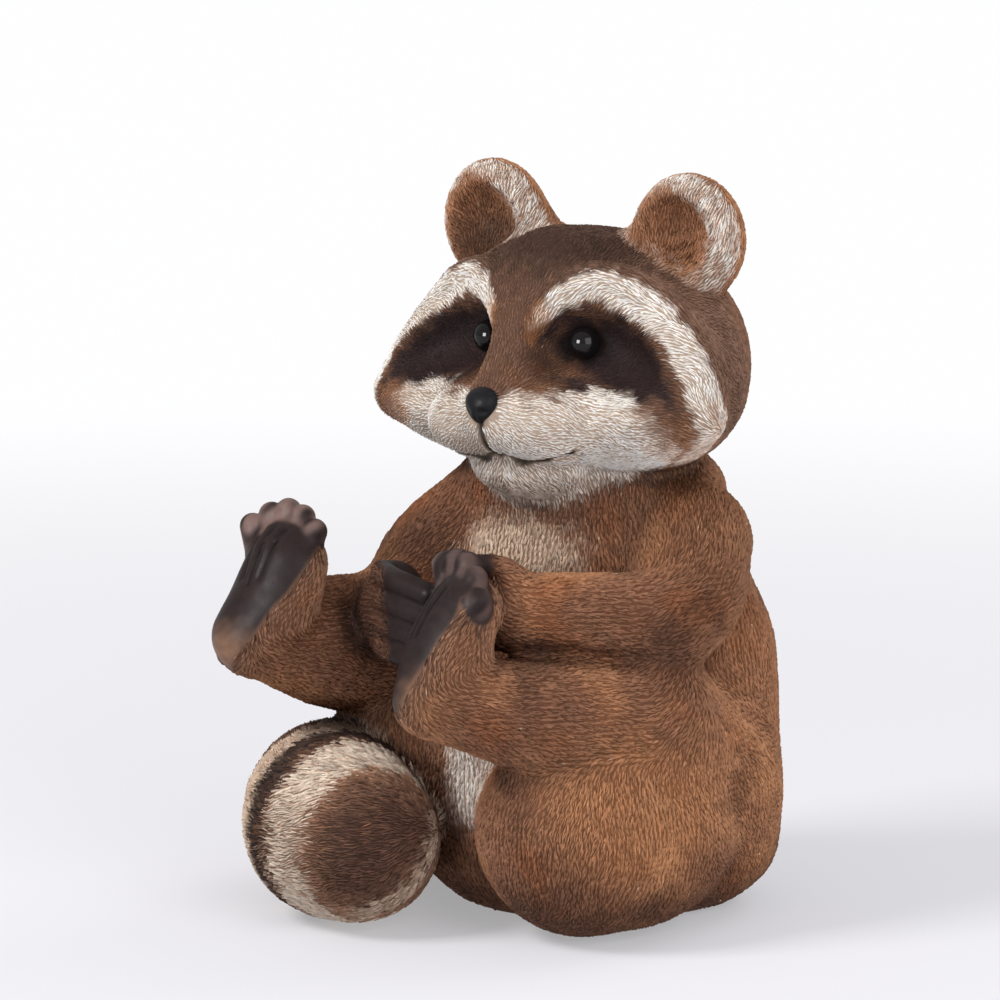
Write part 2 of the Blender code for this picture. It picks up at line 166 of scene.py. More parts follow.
fingerSettings = {"count": 4, "radius": 4.4, "pitch": 9.0}
toeSettings = {"count": 5, "radius": 5.0, "rootRadius": 4.75, "root": (9.5, 3.0, 4.5, 1.6),
               "tip": (14.0, 15.0, 7.0, 1.8), "out": 1.5}  # root and tip: spread, rise, drop and its curve


def fingers(*joints):
    drops = [fingerSettings["pitch"] * i for i in range(fingerSettings["count"])]
    return [rope(*[(x, y, z - drop, fingerSettings["radius"]) for x, y, z in joints]) for drop in drops]


def toes(ball, side, up, out):
    # a fan of short toes: the middle one stands highest
    ball, side, up, out = (np.array(v, float) for v in (ball, side, up, out))
    middle = (toeSettings["count"] - 1) / 2
    made = []
    for i in range(toeSettings["count"]):
        s = (i - middle) / middle
        root, tip = (ball + side * wide * s + up * (rise - drop * abs(s) ** curve)
                     for wide, rise, drop, curve in (toeSettings["root"], toeSettings["tip"]))
        tip = tip + out * toeSettings["out"]
        made.append(rope((*root, toeSettings["rootRadius"]), (*tip, toeSettings["radius"])))
    return made


skull = [
    egg((0, 17, 208.5), (66.5, 49, 49)),
    egg((0, 0, 194), (67, 33, 30.5)),
    *both(egg((45, 2, 200), (30, 31, 27))),
    *both(rope((54, -4, 198, 18), (69, -11, 191, 9))),
]
bridge = [
    rope((0, -4, 236, 22), (0, -18, 222, 16), (0, -31, 207, 11), (0, -43, 196, 8)),
]
muzzle = [
    *both(egg((16, -27, 187), (21, 23, 15.5), (0, 4, 0))),
    *both(egg((44, -15, 189), (26, 18, 13.5), (0, -10, 0))),
    egg((0, -38, 188), (12, 14, 12)),
]
chin = [egg((0, -20, 169), (24, 18, 12))]
brows = both(rope((9, -24, 224, 4), (14, -20, 234, 5), (27, -14, 240, 6), (40, -9, 237, 6.5),
                  (50, -5, 229, 7), (60, -4, 217, 7), (67, -7, 204, 7), (71, -11, 192, 7)))
sockets = both(egg((38, -30, 213), (27, 19, 14), (0, 22, -14)), egg((22, -29, 216), (13, 16, 12)))
mouth = [
    rope((-31, -31, 176, 1.6), (-16, -46, 172.5, 1.6), (0, -50, 175, 1.6),
         (16, -46, 172.5, 1.6), (31, -31, 176, 1.6)),
    rope((0, -51, 174, 1.5), (0, -53, 190, 1.5)),
]
ears = [
    egg((44.5, 20, 254.5), (23.5, 12.5, 24.5), (4, 10, 4)),
    egg((-46, 20, 256), (24.5, 12.5, 25.5), (4, -10, -4)),
    *both(rope((38, 22, 262, 9), (26, 22, 250, 10))),
]
earCups = [
    egg((44, 6, 254.5), (15.5, 15, 16.5), (4, 10, 4)),
    egg((-45.5, 6, 256), (16, 15, 17), (4, -10, -4)),
]
neck = [egg((0, 20, 158), (56, 40, 24))]
trunk = [
    egg((0, 19, 132), (58, 42, 38)),
    egg((0, 26, 89), (74, 53, 62)),
    egg((0, 22, 48), (77, 57, 56)),
    egg((0, 19, 22), (77, 55, 32)),
    egg((0, -2, 62), (56, 58, 58)),
    egg((0, -8, 34), (54, 46, 38)),
]
haunchLeft = [
    rope((45, 11, 47, 41), (42, -44, 39, 40)),
    rope((46, 12, 52, 38), (54, -20, 70, 32)),
    rope((57, -22, 74, 29), (50, -18, 42, 38)),
    egg((48, -26, 27), (34, 46, 28)),
]
haunchRight = [rope((-44, 12, 42, 42), (-46, -26, 48, 36))]
shinLeft = [rope((56, -26, 76, 28), (38, -66, 84, 21.5), (19, -91, 91, 16))]
shinRight = [rope((-60, -24, 94, 29), (-68, -58, 100, 25), (-74, -85, 107, 19))]
footLeft = [
    rope((11, -101, 92, 10.5), (14.5, -94, 107, 13), (19, -86, 124, 12)),
    egg((16, -92, 110), (15, 12, 25), (-18, 0, -34)),
]
footRight = [
    rope((-76, -98, 106, 11.5), (-70, -91, 118, 12), (-66, -85, 134, 12)),
    egg((-66.5, -88, 126), (16, 10.5, 23), (-20, 8, 4)),
]
# the ball of each foot, the way across it, the way up to the toes and the way the sole faces
soleLeft, soleRight = np.array((-0.62, -0.72, 0.3)), np.array((0.1, -0.94, 0.3))
ballLeft = ((18, -87, 126), (0.84, -0.42, -0.32), (0.10, 0.33, 0.94), soleLeft)
ballRight = ((-71, -83, 138), (0.99, 0.1, 0.0), (0.10, 0.33, 0.93), soleRight)
toesLeft, toesRight = toes(*ballLeft), toes(*ballRight)
armLeft = [rope((50, 12, 140, 24.5), (59, -2, 124, 22), (62, -16, 114, 18))]
armRight = [rope((-46, 12, 139, 24), (-56, -4, 127, 22), (-60, -18, 114, 18))]
forearmLeft = [rope((60, -20, 116, 18), (46, -42, 119, 16), (28, -58, 120, 15.5))]
forearmRight = [rope((-58, -20, 113, 17), (-50, -42, 114, 15), (-38, -56, 116, 13))]
handLeft = [egg((21, -65, 125), (14, 9, 16), (0, 0, -35))] + fingers((16, -68, 138), (4, -76, 138))
handRight = [egg((-32, -62, 117), (13, 9, 18), (0, 0, 25))] + fingers((-34, -67, 131), (-20, -76, 130),
                                                                     (-4, -78, 127))
tail = [
    rope((-30, 62, 22, 18), (-64, 44, 25, 22), (-80, 14, 28, 26)),
    rope((-80, 14, 28, 26), (-80, -24, 31, 30), (-68, -54, 34, 34)),
    rope((-68, -54, 34, 34), (-50, -76, 34, 35), (-33, -84, 32, 31)),
]
tailNub = np.array((-6.0, -71.0, 37.0))
noseTip = np.array((0.0, -50.0, 194.0))
headForms = skull + bridge + muzzle + chin + brows
legSides = [(shinLeft + footLeft, toesLeft), (shinRight + footRight, toesRight)]
armSides = [(armLeft + forearmLeft, handLeft), (armRight + forearmRight, handRight)]
allForms = headForms + ears + neck + trunk + haunchLeft + haunchRight + tail
for limb, end in legSides + armSides:
    allForms = allForms + limb + end


# In the fields, the numbers after p are how softly the forms run into one another, in mm.

def headField(p):
    head = meltAll(skull, p, 12.0)
    head = melt(head, meltAll(muzzle, p, 7.0), 6.0)
    head = melt(head, meltAll(chin, p, 4.0), 5.0)
    head = melt(head, meltAll(bridge, p, 6.0), 9.0)
    head = carve(head, meltAll(sockets, p, 4.0), 6.0)
    head = melt(head, meltAll(brows, p, 3.0), 6.5)
    head = melt(head, carve(meltAll(ears, p, 6.0), meltAll(earCups, p, 1.0), 4.0), 6.0)
    return carve(head, meltAll(mouth, p, 1.5), 1.5)


def statueField(p):
    statue = meltAll(trunk, p, 18.0)
    statue = melt(statue, meltAll(neck, p, 6.0), 10.0)
    statue = melt(statue, meltAll(haunchLeft + haunchRight, p, 2.0), 6.0)
    legs = [melt(meltAll(limb, p, 9.0), meltAll(end, p, 1.5), 3.5) for limb, end in legSides]
    statue = melt(statue, np.minimum(*legs), 7.0)
    arms = [melt(meltAll(limb, p, 6.0), meltAll(end, p, 2.5), 5.0) for limb, end in armSides]
    statue = melt(statue, np.minimum(*arms), 6.0)
    statue = melt(statue, headField(p), 5.0)
    return melt(statue, meltAll(tail, p, 4.0), 3.0)


# Where the paws are bare, and how deep the coat is elsewhere.

# soleTurn: how far the skin must face as the sole does. The rest is in mm.
bareSettings = {"soleTurn": (-0.05, 0.25), "edge": 1.8, "toe": (1.2, 2.6), "knuckles": (-62.5, -59.5)}
# a spot on each seam between bare sole and fur, and the way towards the fur
seamRight = (np.array((-55.1, -80.9, 136.5)), np.array((0.70, 0.40, -0.60)))
seamLeft = (np.array((25.5, -98.0, 126.5)), np.array((0.774, 0.397, -0.494)))
bareFingers = [rope((12, -70, 138, 5.2), (2, -77, 138, 5.0)),
               *[rope((9, -72, z, 5.0), (1, -78, z, 5.0)) for z in (129, 120, 111)]]


def bareness(p, n):
    bare = np.zeros(len(p))
    wobble = 0.6 * waves(p, 14.0, 3)
    for forms, pads, sole, seam in ((footLeft, toesLeft, soleLeft, seamLeft),
                                    (footRight, toesRight, soleRight, seamRight)):
        facing = n @ (sole / np.linalg.norm(sole)) + 0.04 * waves(p, 18.0, 3)
        foot = np.minimum(meltAll(forms, p, 4.0), meltAll(pads, p, 2.0))
        onFoot = 1.0 - ease(foot, 3.5, 6.5)
        side = 1.0 - ease((p - seam[0]) @ seam[1] + wobble, -bareSettings["edge"], bareSettings["edge"])
        bare = np.maximum(bare, onFoot * side * ease(facing, *bareSettings["soleTurn"]))
        bare = np.maximum(bare, 1.0 - ease(meltAll(pads, p, 1.5), *bareSettings["toe"]))
    reachOut = 1.6 + 0.8 * waves(p, 9.0, 5)
    knuckles = ease(p @ np.array((0.8, 0.6, 0.05)) + wobble, *bareSettings["knuckles"])
    for hand, part in ((bareFingers, 1.0), (handRight, knuckles)):
        bare = np.maximum(bare, part * (1.0 - ease(meltAll(hand, p, 2.5), reachOut, reachOut + 2.5)))
    return bare


coatDepth = {"face": 0.30, "body": 0.60, "tail": 0.85}  # mm


def pawGap(p):
    paws = footLeft + toesLeft, footRight + toesRight, handLeft, handRight
    return np.minimum.reduce([meltAll(paw, p, 2.0) for paw in paws])


def coatInset(p):
    # how deep the skin lies under the finished surface, to leave room for the strokes
    onHead = 1.0 - ease(headField(p), 1.0, 5.0)
    onTail = 1.0 - ease(meltAll(tail, p, 4.0), 1.0, 5.0)
    depth = coatDepth["body"] + onHead * (coatDepth["face"] - coatDepth["body"])
    depth += onTail * (coatDepth["tail"] - coatDepth["body"])
    return depth * ease(pawGap(p), 1.0, 5.0)


def laid(spots, radius, field, way):
    # a rope whose stations are moved along `way` onto the field's surface
    p, way = np.array(spots, float), np.array(way, float) / np.linalg.norm(way)
    for _ in range(12):
        p = p + np.clip(-field(p), -stride, stride)[:, None] * way
    return rope(*np.hstack([p, np.full((len(p), 1), radius)]))


grooveSettings = {"length": 21.0, "radius": 0.55, "soft": 2.6, "places": (-0.5, 0.0, 0.5), "start": 9.0}


def soleGrooves(ball, side, up, sole):
    # the lines between the long bones, from between the toes down the sole
    ball, side, up = (np.array(v, float) for v in (ball, side, up))
    made = []
    for s in grooveSettings["places"]:
        top = ball + side * 12.5 * s + up * 7.0
        low = ball + side * 8.5 * s - up * (grooveSettings["length"] - 5.0 - 5.0 * abs(s))
        spots = [spot + sole * grooveSettings["start"] for spot in (top, (top + low) / 2, low)]
        made.append(laid(spots, grooveSettings["radius"], statueField, sole))
    return made


soleCuts = soleGrooves(*ballLeft) + soleGrooves(*ballRight)
lipCuts = [
    laid([(-31, -34, 177.5), (-20, -42, 174), (-9, -49, 172.5), (0, -52, 175.5),
          (9, -49, 172.5), (20, -42, 174), (31, -34, 177.5)], 0.75, headField, (0, -1, 0)),
    laid([(0, -54, 174.5), (0, -54, 181), (0, -54, 189)], 0.65, headField, (0, -1, 0)),
]


def skinField(p):
    solid = carve(statueField(p) + coatInset(p), meltAll(soleCuts, p, 0.5), grooveSettings["soft"])
    return carve(solid, meltAll(lipCuts, p, 0.5), 1.0)


# Meshing.

def unitBall(subdivisions):
    bm = bmesh.new()
    bmesh.ops.create_icosphere(bm, subdivisions=subdivisions, radius=1.0)
    points = np.array([v.co[:] for v in bm.verts])
    sides = np.array([[v.index for v in f.verts] for f in bm.faces])
    bm.free()
    return points, sides


def ballsOf(form):
    if "stations" not in form:
        return [(form["centre"], form["spin"] * form["radii"])]
    made = []
    knots = form["stations"]
    for a, b in zip(knots[:-1], knots[1:]):
        count = max(1, math.ceil(np.linalg.norm(b[:3] - a[:3]) / (0.3 * min(a[3], b[3]))))
        made += [a + (b - a) * i / count for i in range(count)]
    made.append(knots[-1])
    return [(k[:3], np.eye(3) * k[3]) for k in made]


def makeObject(name, mesh):
    obj = bpy.data.objects.new(name, mesh)
    bpy.context.scene.collection.objects.link(obj)
    return obj


def bake(obj):
    # replaces the object's mesh by what its modifiers make of it
    graph = bpy.context.evaluated_depsgraph_get()
    mesh = bpy.data.meshes.new_from_object(obj.evaluated_get(graph), depsgraph=graph)
    obj.modifiers.clear()
    old = obj.data
    obj.data = mesh
    bpy.data.meshes.remove(old)


def remesh(obj, grain):
    step = obj.modifiers.new("skin", "REMESH")
    step.mode = "VOXEL"
    step.voxel_size = grain * mm
    bake(obj)


def lumpOf(name, forms, grain):
    points, sides, count = [], [], 0
    balls = {True: unitBall(3), False: unitBall(5)}
    for form in forms:
        unit, faces = balls["stations" in form]
        for centre, shape in ballsOf(form):
            points.append((unit @ shape.T + centre) * mm + home)
            sides.append(faces + count)
            count += len(unit)
    mesh = bpy.data.meshes.new(name)
    mesh.from_pydata(np.vstack(points).tolist(), [], np.vstack(sides).tolist())
    obj = makeObject(name, mesh)
    remesh(obj, grain)
    return obj


def pull(items, name, width, kind=np.float32):
    # one property of all the items, as an array with a row for each
    flat = np.empty(len(items) * width, kind)
    items.foreach_get(name, flat)
    return flat if width == 1 else flat.reshape(-1, width)


def pointsOf(mesh):
    return (pull(mesh.vertices, "co", 3).astype(float) - home) / mm


def setPoints(mesh, p):
    mesh.vertices.foreach_set("co", (p * mm + home).astype(np.float32).ravel())
    mesh.update()


def normalsOf(mesh):
    return pull(mesh.vertex_normals, "vector", 3).astype(float)


settleSettings = {"probe": 0.3, "leastSlope": 0.2}  # probe in mm


def settle(obj, field, passes, relax=0.35):
    # moves every point onto the field's surface, evening the mesh as it goes
    mesh = obj.data
    p = pointsOf(mesh)
    ends = pull(mesh.edges, "vertices", 2, np.int32)
    valence = np.bincount(ends.ravel(), minlength=len(p))[:, None]
    step = settleSettings["probe"]
    for turn in range(passes):
        if turn < passes - 1:
            total = np.zeros_like(p)
            for axis in range(3):
                total[:, axis] += np.bincount(ends[:, 0], p[ends[:, 1], axis], len(p))
                total[:, axis] += np.bincount(ends[:, 1], p[ends[:, 0], axis], len(p))
            p += relax * (total / valence - p)
        value = field(p)
        slope = np.stack([field(p + axis) - value for axis in np.eye(3) * step], axis=1) / step
        steep = np.maximum((slope ** 2).sum(axis=1), settleSettings["leastSlope"])
        p -= np.clip(value / steep, -stride, stride)[:, None] * slope
    p[:, 2] = np.maximum(p[:, 2], floorLevel)
    setPoints(mesh, p)


def refine(obj, wanted):
    # quarters the faces whose middles are wanted
    bm = bmesh.new()
    bm.from_mesh(obj.data)
    middles = (np.array([f.calc_center_median()[:] for f in bm.faces]) - home) / mm
    chosen = wanted(middles)
    edges = {edge for face, take in zip(bm.faces, chosen) if take for edge in face.edges}
    bmesh.ops.subdivide_edges(bm, edges=list(edges), cuts=1, use_grid_fill=True)
    bmesh.ops.triangulate(bm, faces=[f for f in bm.faces if len(f.verts) > 4])
    bm.to_mesh(obj.data)
    bm.free()


def store(mesh, name, kind, values):
    layer = mesh.attributes.get(name) or mesh.attributes.new(name, kind, "POINT")
    field = {"FLOAT": "value", "FLOAT_VECTOR": "vector", "FLOAT_COLOR": "color"}[kind]
    layer.data.foreach_set(field, np.ascontiguousarray(values, np.float32).ravel())


def storePaint(mesh, colour):
    store(mesh, "paint", "FLOAT_COLOR", np.hstack([colour, np.ones((len(colour), 1))]))


def dropMaps(mesh, *names):
    for name in names:
        mesh.attributes.remove(mesh.attributes[name])


def read(mesh, name, width):
    return pull(mesh.attributes[name].data, "value" if width == 1 else "vector", width)


def unwrap(mesh, places):
    layer = mesh.uv_layers.new(name="OFBake")
    layer.uv.foreach_set("vector", places.astype(np.float32).ravel())


def meshFrom(bm, name):
    mesh = bpy.data.meshes.new(name)
    bm.to_mesh(mesh)
    bm.free()
    return mesh


# The lie of the carved hair.

def pathPlace(stations, p):
    # per point: place along the path in mm, nearest segment's direction, and offset from the path
    best = np.full(len(p), 1e9)
    place = np.zeros(len(p))
    way = np.zeros((len(p), 3))
    offset = np.zeros((len(p), 3))
    start = 0.0
    last = len(stations) - 2
    for i, (a, b) in enumerate(zip(stations[:-1], stations[1:])):
        along = b[:3] - a[:3]
        length = np.linalg.norm(along)
        t = (p - a[:3]) @ along / length ** 2
        clipped = np.clip(t, 0.0 if i else -9.0, 1.0 if i < last else 9.0)
        gap = p - a[:3] - clipped[:, None] * along
        away = np.linalg.norm(p - a[:3] - np.clip(t, 0, 1)[:, None] * along, axis=1)
        closer = away < best
        best = np.where(closer, away, best)
        place = np.where(closer, start + clipped * length, place)
        way[closer] = along / length
        offset[closer] = gap[closer]
        start += length
    return place, way, offset


tailPath = np.vstack([form["stations"][::-1] for form in reversed(tail)])  # from the tip to the rump
tailPath = tailPath[np.r_[True, np.linalg.norm(np.diff(tailPath[:, :3], axis=0), axis=1) > 0.5]]


def unit(v):
    return v / np.maximum(np.linalg.norm(v, axis=1, keepdims=True), 1e-9)


def awayFrom(*spot):
    return lambda p: unit(p - np.array(spot, float))


def alongPath(form):
    return lambda p: pathPlace(form["stations"], p)[1]


def headLie(p):
    back = unit(p - noseTip)
    behind = ease(p[:, 1], 5.0, 55.0)[:, None]
    side = ease(np.abs(p[:, 0]), 50.0, 75.0)[:, None]
    return unit(back * (1.0 - 0.8 * behind) + (behind + 0.5 * side) * np.array((0.0, 0.1, -1.0)))


def chinLie(p):
    return unit(np.stack([np.sign(p[:, 0]) * 0.45, np.full(len(p), 0.3), np.full(len(p), -1.0)], axis=1))


def earLie(p):
    base = np.stack([np.sign(p[:, 0]) * 40.0, np.full(len(p), 16.0), np.full(len(p), 226.0)], axis=1)
    return unit(p - base)


def trunkLie(p):
    lean = np.stack([0.25 * np.sin(p[:, 0] / 30.0), 0.12 * np.ones(len(p)), -np.ones(len(p))], axis=1)
    return unit(lean)


def tailLie(p):
    _, way, _ = pathPlace(tailPath, p)
    inward = unit(tailNub - p)
    near = 1.0 - ease(np.linalg.norm(p - tailNub, axis=1), 62.0, 82.0)[:, None]
    return unit(near * inward - (1.0 - near) * way)


def alongEach(soft, *limbs):
    return [(limb, soft, alongPath(limb[0])) for limb in limbs]


lies = [  # forms, how far their pull reaches, the way the hair lies on them
    (skull + bridge + muzzle, 3.0, headLie), *alongEach(1.2, brows[:1], brows[1:]), (chin, 2.0, chinLie),
    (ears, 2.0, earLie), (trunk + neck, 4.0, trunkLie),
    (haunchLeft, 3.0, awayFrom(60, -45, 108)), (haunchRight, 3.0, awayFrom(-60, -40, 112)),
    *alongEach(2.5, shinLeft, shinRight), *alongEach(2.0, footLeft, footRight),
    *alongEach(3.0, armLeft, armRight), *alongEach(2.5, forearmLeft, forearmRight), (tail, 2.0, tailLie),
]


def lieOf(p, n):
    total = np.zeros_like(p)
    for forms, soft, way in lies:
        pull = np.exp(-np.clip(meltAll(forms, p, 3.0), -2.0, 28.0) / soft)
        near = pull > 1e-4
        total[near] += pull[near, None] * way(p[near])
    total = unit(total)
    swirl = np.stack([waves(p, 30.0, 11 + i) + 0.7 * waves(p, 9.0, 15 + i) for i in range(3)], axis=1)
    total = total + 0.17 * swirl
    total -= (total * n).sum(axis=1, keepdims=True) * n
    return unit(total)


# The paint. Each colour is mixed in 0 to 255 and made linear.

def dye(*rgb):
    c = np.array(rgb, float) / 255.0
    return np.where(c <= 0.04045, c / 12.92, ((c + 0.055) / 1.055) ** 2.4)


colours = {
    "body": dye(142, 101, 78),
    "tan": dye(188, 136, 97),
    "orange": dye(150, 96, 64),
    "deep": dye(72, 50, 41),
    "crown": dye(74, 54, 45),
    "forehead": dye(124, 95, 79),
    "mask": dye(54, 40, 39),
    "maskBrown": dye(118, 84, 64),
    "cream": dye(250, 243, 235),
    "warmCream": dye(214, 191, 170),
    "ringCream": dye(222, 205, 188),
    "earCup": dye(166, 120, 90),
    "ringDark": dye(98, 70, 57),
    "ringBlack": dye(64, 49, 43),
    "charcoal": dye(41, 32, 31),
    "padBrown": dye(120, 97, 91),
    "soleEdge": dye(148, 112, 90),
}


def mixed(under, over, share):
    share = np.clip(share, 0.0, 1.0)[:, None]
    return under * (1.0 - share) + over * share


def patch(p, forms, spread, soft, ragged=0.0, size=6.0, seed=21):
    d = meltAll(forms, p, 2.0) - spread
    if ragged:
        d = d + ragged * waves(p, size, seed)
    return 1.0 - ease(d, -soft / 2, soft / 2)


browPaint = both(rope((11, -30, 225, 2), (16, -27, 232, 3.8), (27.6, -20, 238.6, 4.8), (38.5, -17, 236, 5.6),
                      (50, -13.5, 230, 6), (64, -14, 218, 6), (73, -14, 206, 6.2), (79, -15, 193, 6.5),
                      (71, -6, 181, 6), (58, 0, 172, 5)))
maskPaint = both(rope((20, -28, 219, 13), (34, -25, 215, 15.5), (47, -24, 209, 13.5), (58, -26, 200, 10),
                      (66, -24, 190, 6.5)), rope((23, -31, 209, 9), (38, -27, 205, 9.5), (54, -27, 199, 9)),
                 rope((21, -17, 217, 11), (36, -15, 213, 14), (50, -15, 207, 12)))
# painted shade: dark bands in the creases between limbs and body, under the chin and over the far upper arm,
# standing in for the shadow there
creaseShades = [
    rope((80, -20, 128, 3), (84, -8, 112, 3), (86, 6, 96, 3)), rope((-40, -34, 154, 6), (36, -30, 152, 5)),
    rope((45, -62, 106, 1), (60, -45, 106, 1), (75, -25, 104, 1), (84, -10, 108, 1)),
    egg((-60, -14, 126), (22, 22, 20)), rope((-64, -34, 118, 8), (-68, -52, 120, 8)),
    rope((76, -36, 100, 1.5), (80, -10, 73, 1), (80, 14, 58, 1)),
    rope((40, -78, 68, 2), (60, -62, 72, 2), (68, -50, 80, 1)),
]
# colour, forms, spread, soft edge, raggedness, strength
headPaints = [
    ("body", [egg((0, 60, 200), (90, 50, 80))], 0.0, 26.0, 3.0, 0.8),
    ("crown", [egg((0, 6, 256), (44, 40, 22))], 0.0, 26.0, 3.0, 0.9),
    ("maskBrown", maskPaint, 2.0, 7.0, 1.5, 1.0),
    ("mask", maskPaint, -1.0, 7.0, 1.2, 1.0),
    ("forehead", [rope((0, -8, 236, 12), (0, -22, 221, 9), (0, -36, 207, 8), (0, -46, 200, 8))],
     0.0, 5.0, 0.8, 1.0),
    ("tan", both(rope((4, -40, 204, 4), (13, -41, 201, 4), (24, -33, 203, 2))), 0.5, 7.0, 0.8, 0.2),
    ("tan", both(rope((56, -28, 190, 3), (68, -22, 184, 6))), 0.5, 12.0, 1.2, 0.55),
    ("cream", both(egg((34, -26, 180), (34, 26, 20)), egg((10, -42, 185), (14, 15, 14.5)),
                   egg((22, -36, 184), (16, 16, 15)))
     + [egg((0, -24, 168), (36, 26, 15))], 0.0, 4.0, 1.0, 1.0),
    ("tan", [egg((-62, -30, 187), (12, 14, 9))], 0.0, 8.0, 1.5, 0.7),
    ("tan", both(egg((66, -16, 178), (12, 14, 8))), 0.0, 9.0, 1.5, 0.4),
    ("cream", browPaint, 0.4, 3.0, 0.9, 1.0),
    ("tan", both(rope((9, -32, 219, 2), (12, -30, 228, 3))), 1.0, 4.0, 0.8, 0.55),
    ("soleEdge", both(rope((60, -26, 192, 4), (68, -21, 183, 5))), 1.0, 10.0, 1.4, 0.85),
    ("tan", both(rope((78, -13, 193, 3), (70, -5, 179, 6), (54, 2, 170, 6))), 1.0, 10.0, 1.2, 0.55),
    ("earCup", [egg((0, -26, 160), (36, 26, 8))], 0.0, 10.0, 1.5, 0.35),
]
# painted shade of the hollows: what is left of the colour where it is fullest, and how far out, in mm, a point
# looks to find the hollow
hollowShadeSettings = {"keptInShade": np.array((0.34, 0.29, 0.27)), "look": 9.0}


def hollowShade(p, n):
    # how far each point sits in a hollow, 0 in the open to 1: there the colour is darkened as painted shade,
    # standing in for the shadow of the hollow
    look = hollowShadeSettings["look"]
    return np.clip(1.0 - statueField(p + look * n) / look, 0.0, 1.0)


def ringTone(p):
    # place along the tail in mm: straight out from the nub first, then along the tail's middle
    place, _, _ = pathPlace(tailPath, p)
    chord = np.linalg.norm(p - ringCentre, axis=1)
    blend = ease(place, 12.0, 42.0)
    return (1.0 - blend) * chord + blend * (40.0 + place)


ringCentre = np.array((-5.0, -97.0, 32.0))
tailRings = [  # where each ring ends, in mm, and its colour
    (30, "ringDark"), (37, "soleEdge"), (54, "ringCream"), (57, "maskBrown"), (66, "ringBlack"),
    (84, "warmCream"), (95, "ringDark"), (112, "tan"), (126, "ringDark"), (142, "tan"), (156, "ringDark"),
    (400, "body"),
]
ringEdge, firstEdge = 4.0, 10.0  # how soft the rings' edges are
haunchPatches = both(egg((68, -48, 52), (34, 40, 30)))
shoulderAndFlank = [egg((60, 0, 150), (30, 40, 22)), egg((80, 20, 80), (20, 40, 50))]
sleevePatch = armLeft + [egg((70, 10, 128), (20, 24, 20))]
earRoots = [(egg((34, 10, 238), (17, 24, 13)), 0.25), (egg((-45, 8, 249), (17, 24, 13)), 0.8)]
heelPatches = [egg((-75, -108, 101), (10, 12, 8)), egg((18, -111, 92), (7, 12, 9))]
earCupPaint = [egg((39, 12, 253), (18.5, 24, 21), (4, 10, 8)),
               egg((-50, 12, 253), (18, 24, 23), (4, -10, -8))]
chestPatch = [egg((-6, -27, 136), (31, 20, 13))]
bellyPatch = [rope((4, -60, 70, 9), (-3, -62, 44, 6))]
tailRim = [rope((-4, -72, 38, 6), (-1, -80, 24, 6), (-5, -88, 14, 6), (-18, -98, 6, 7))]


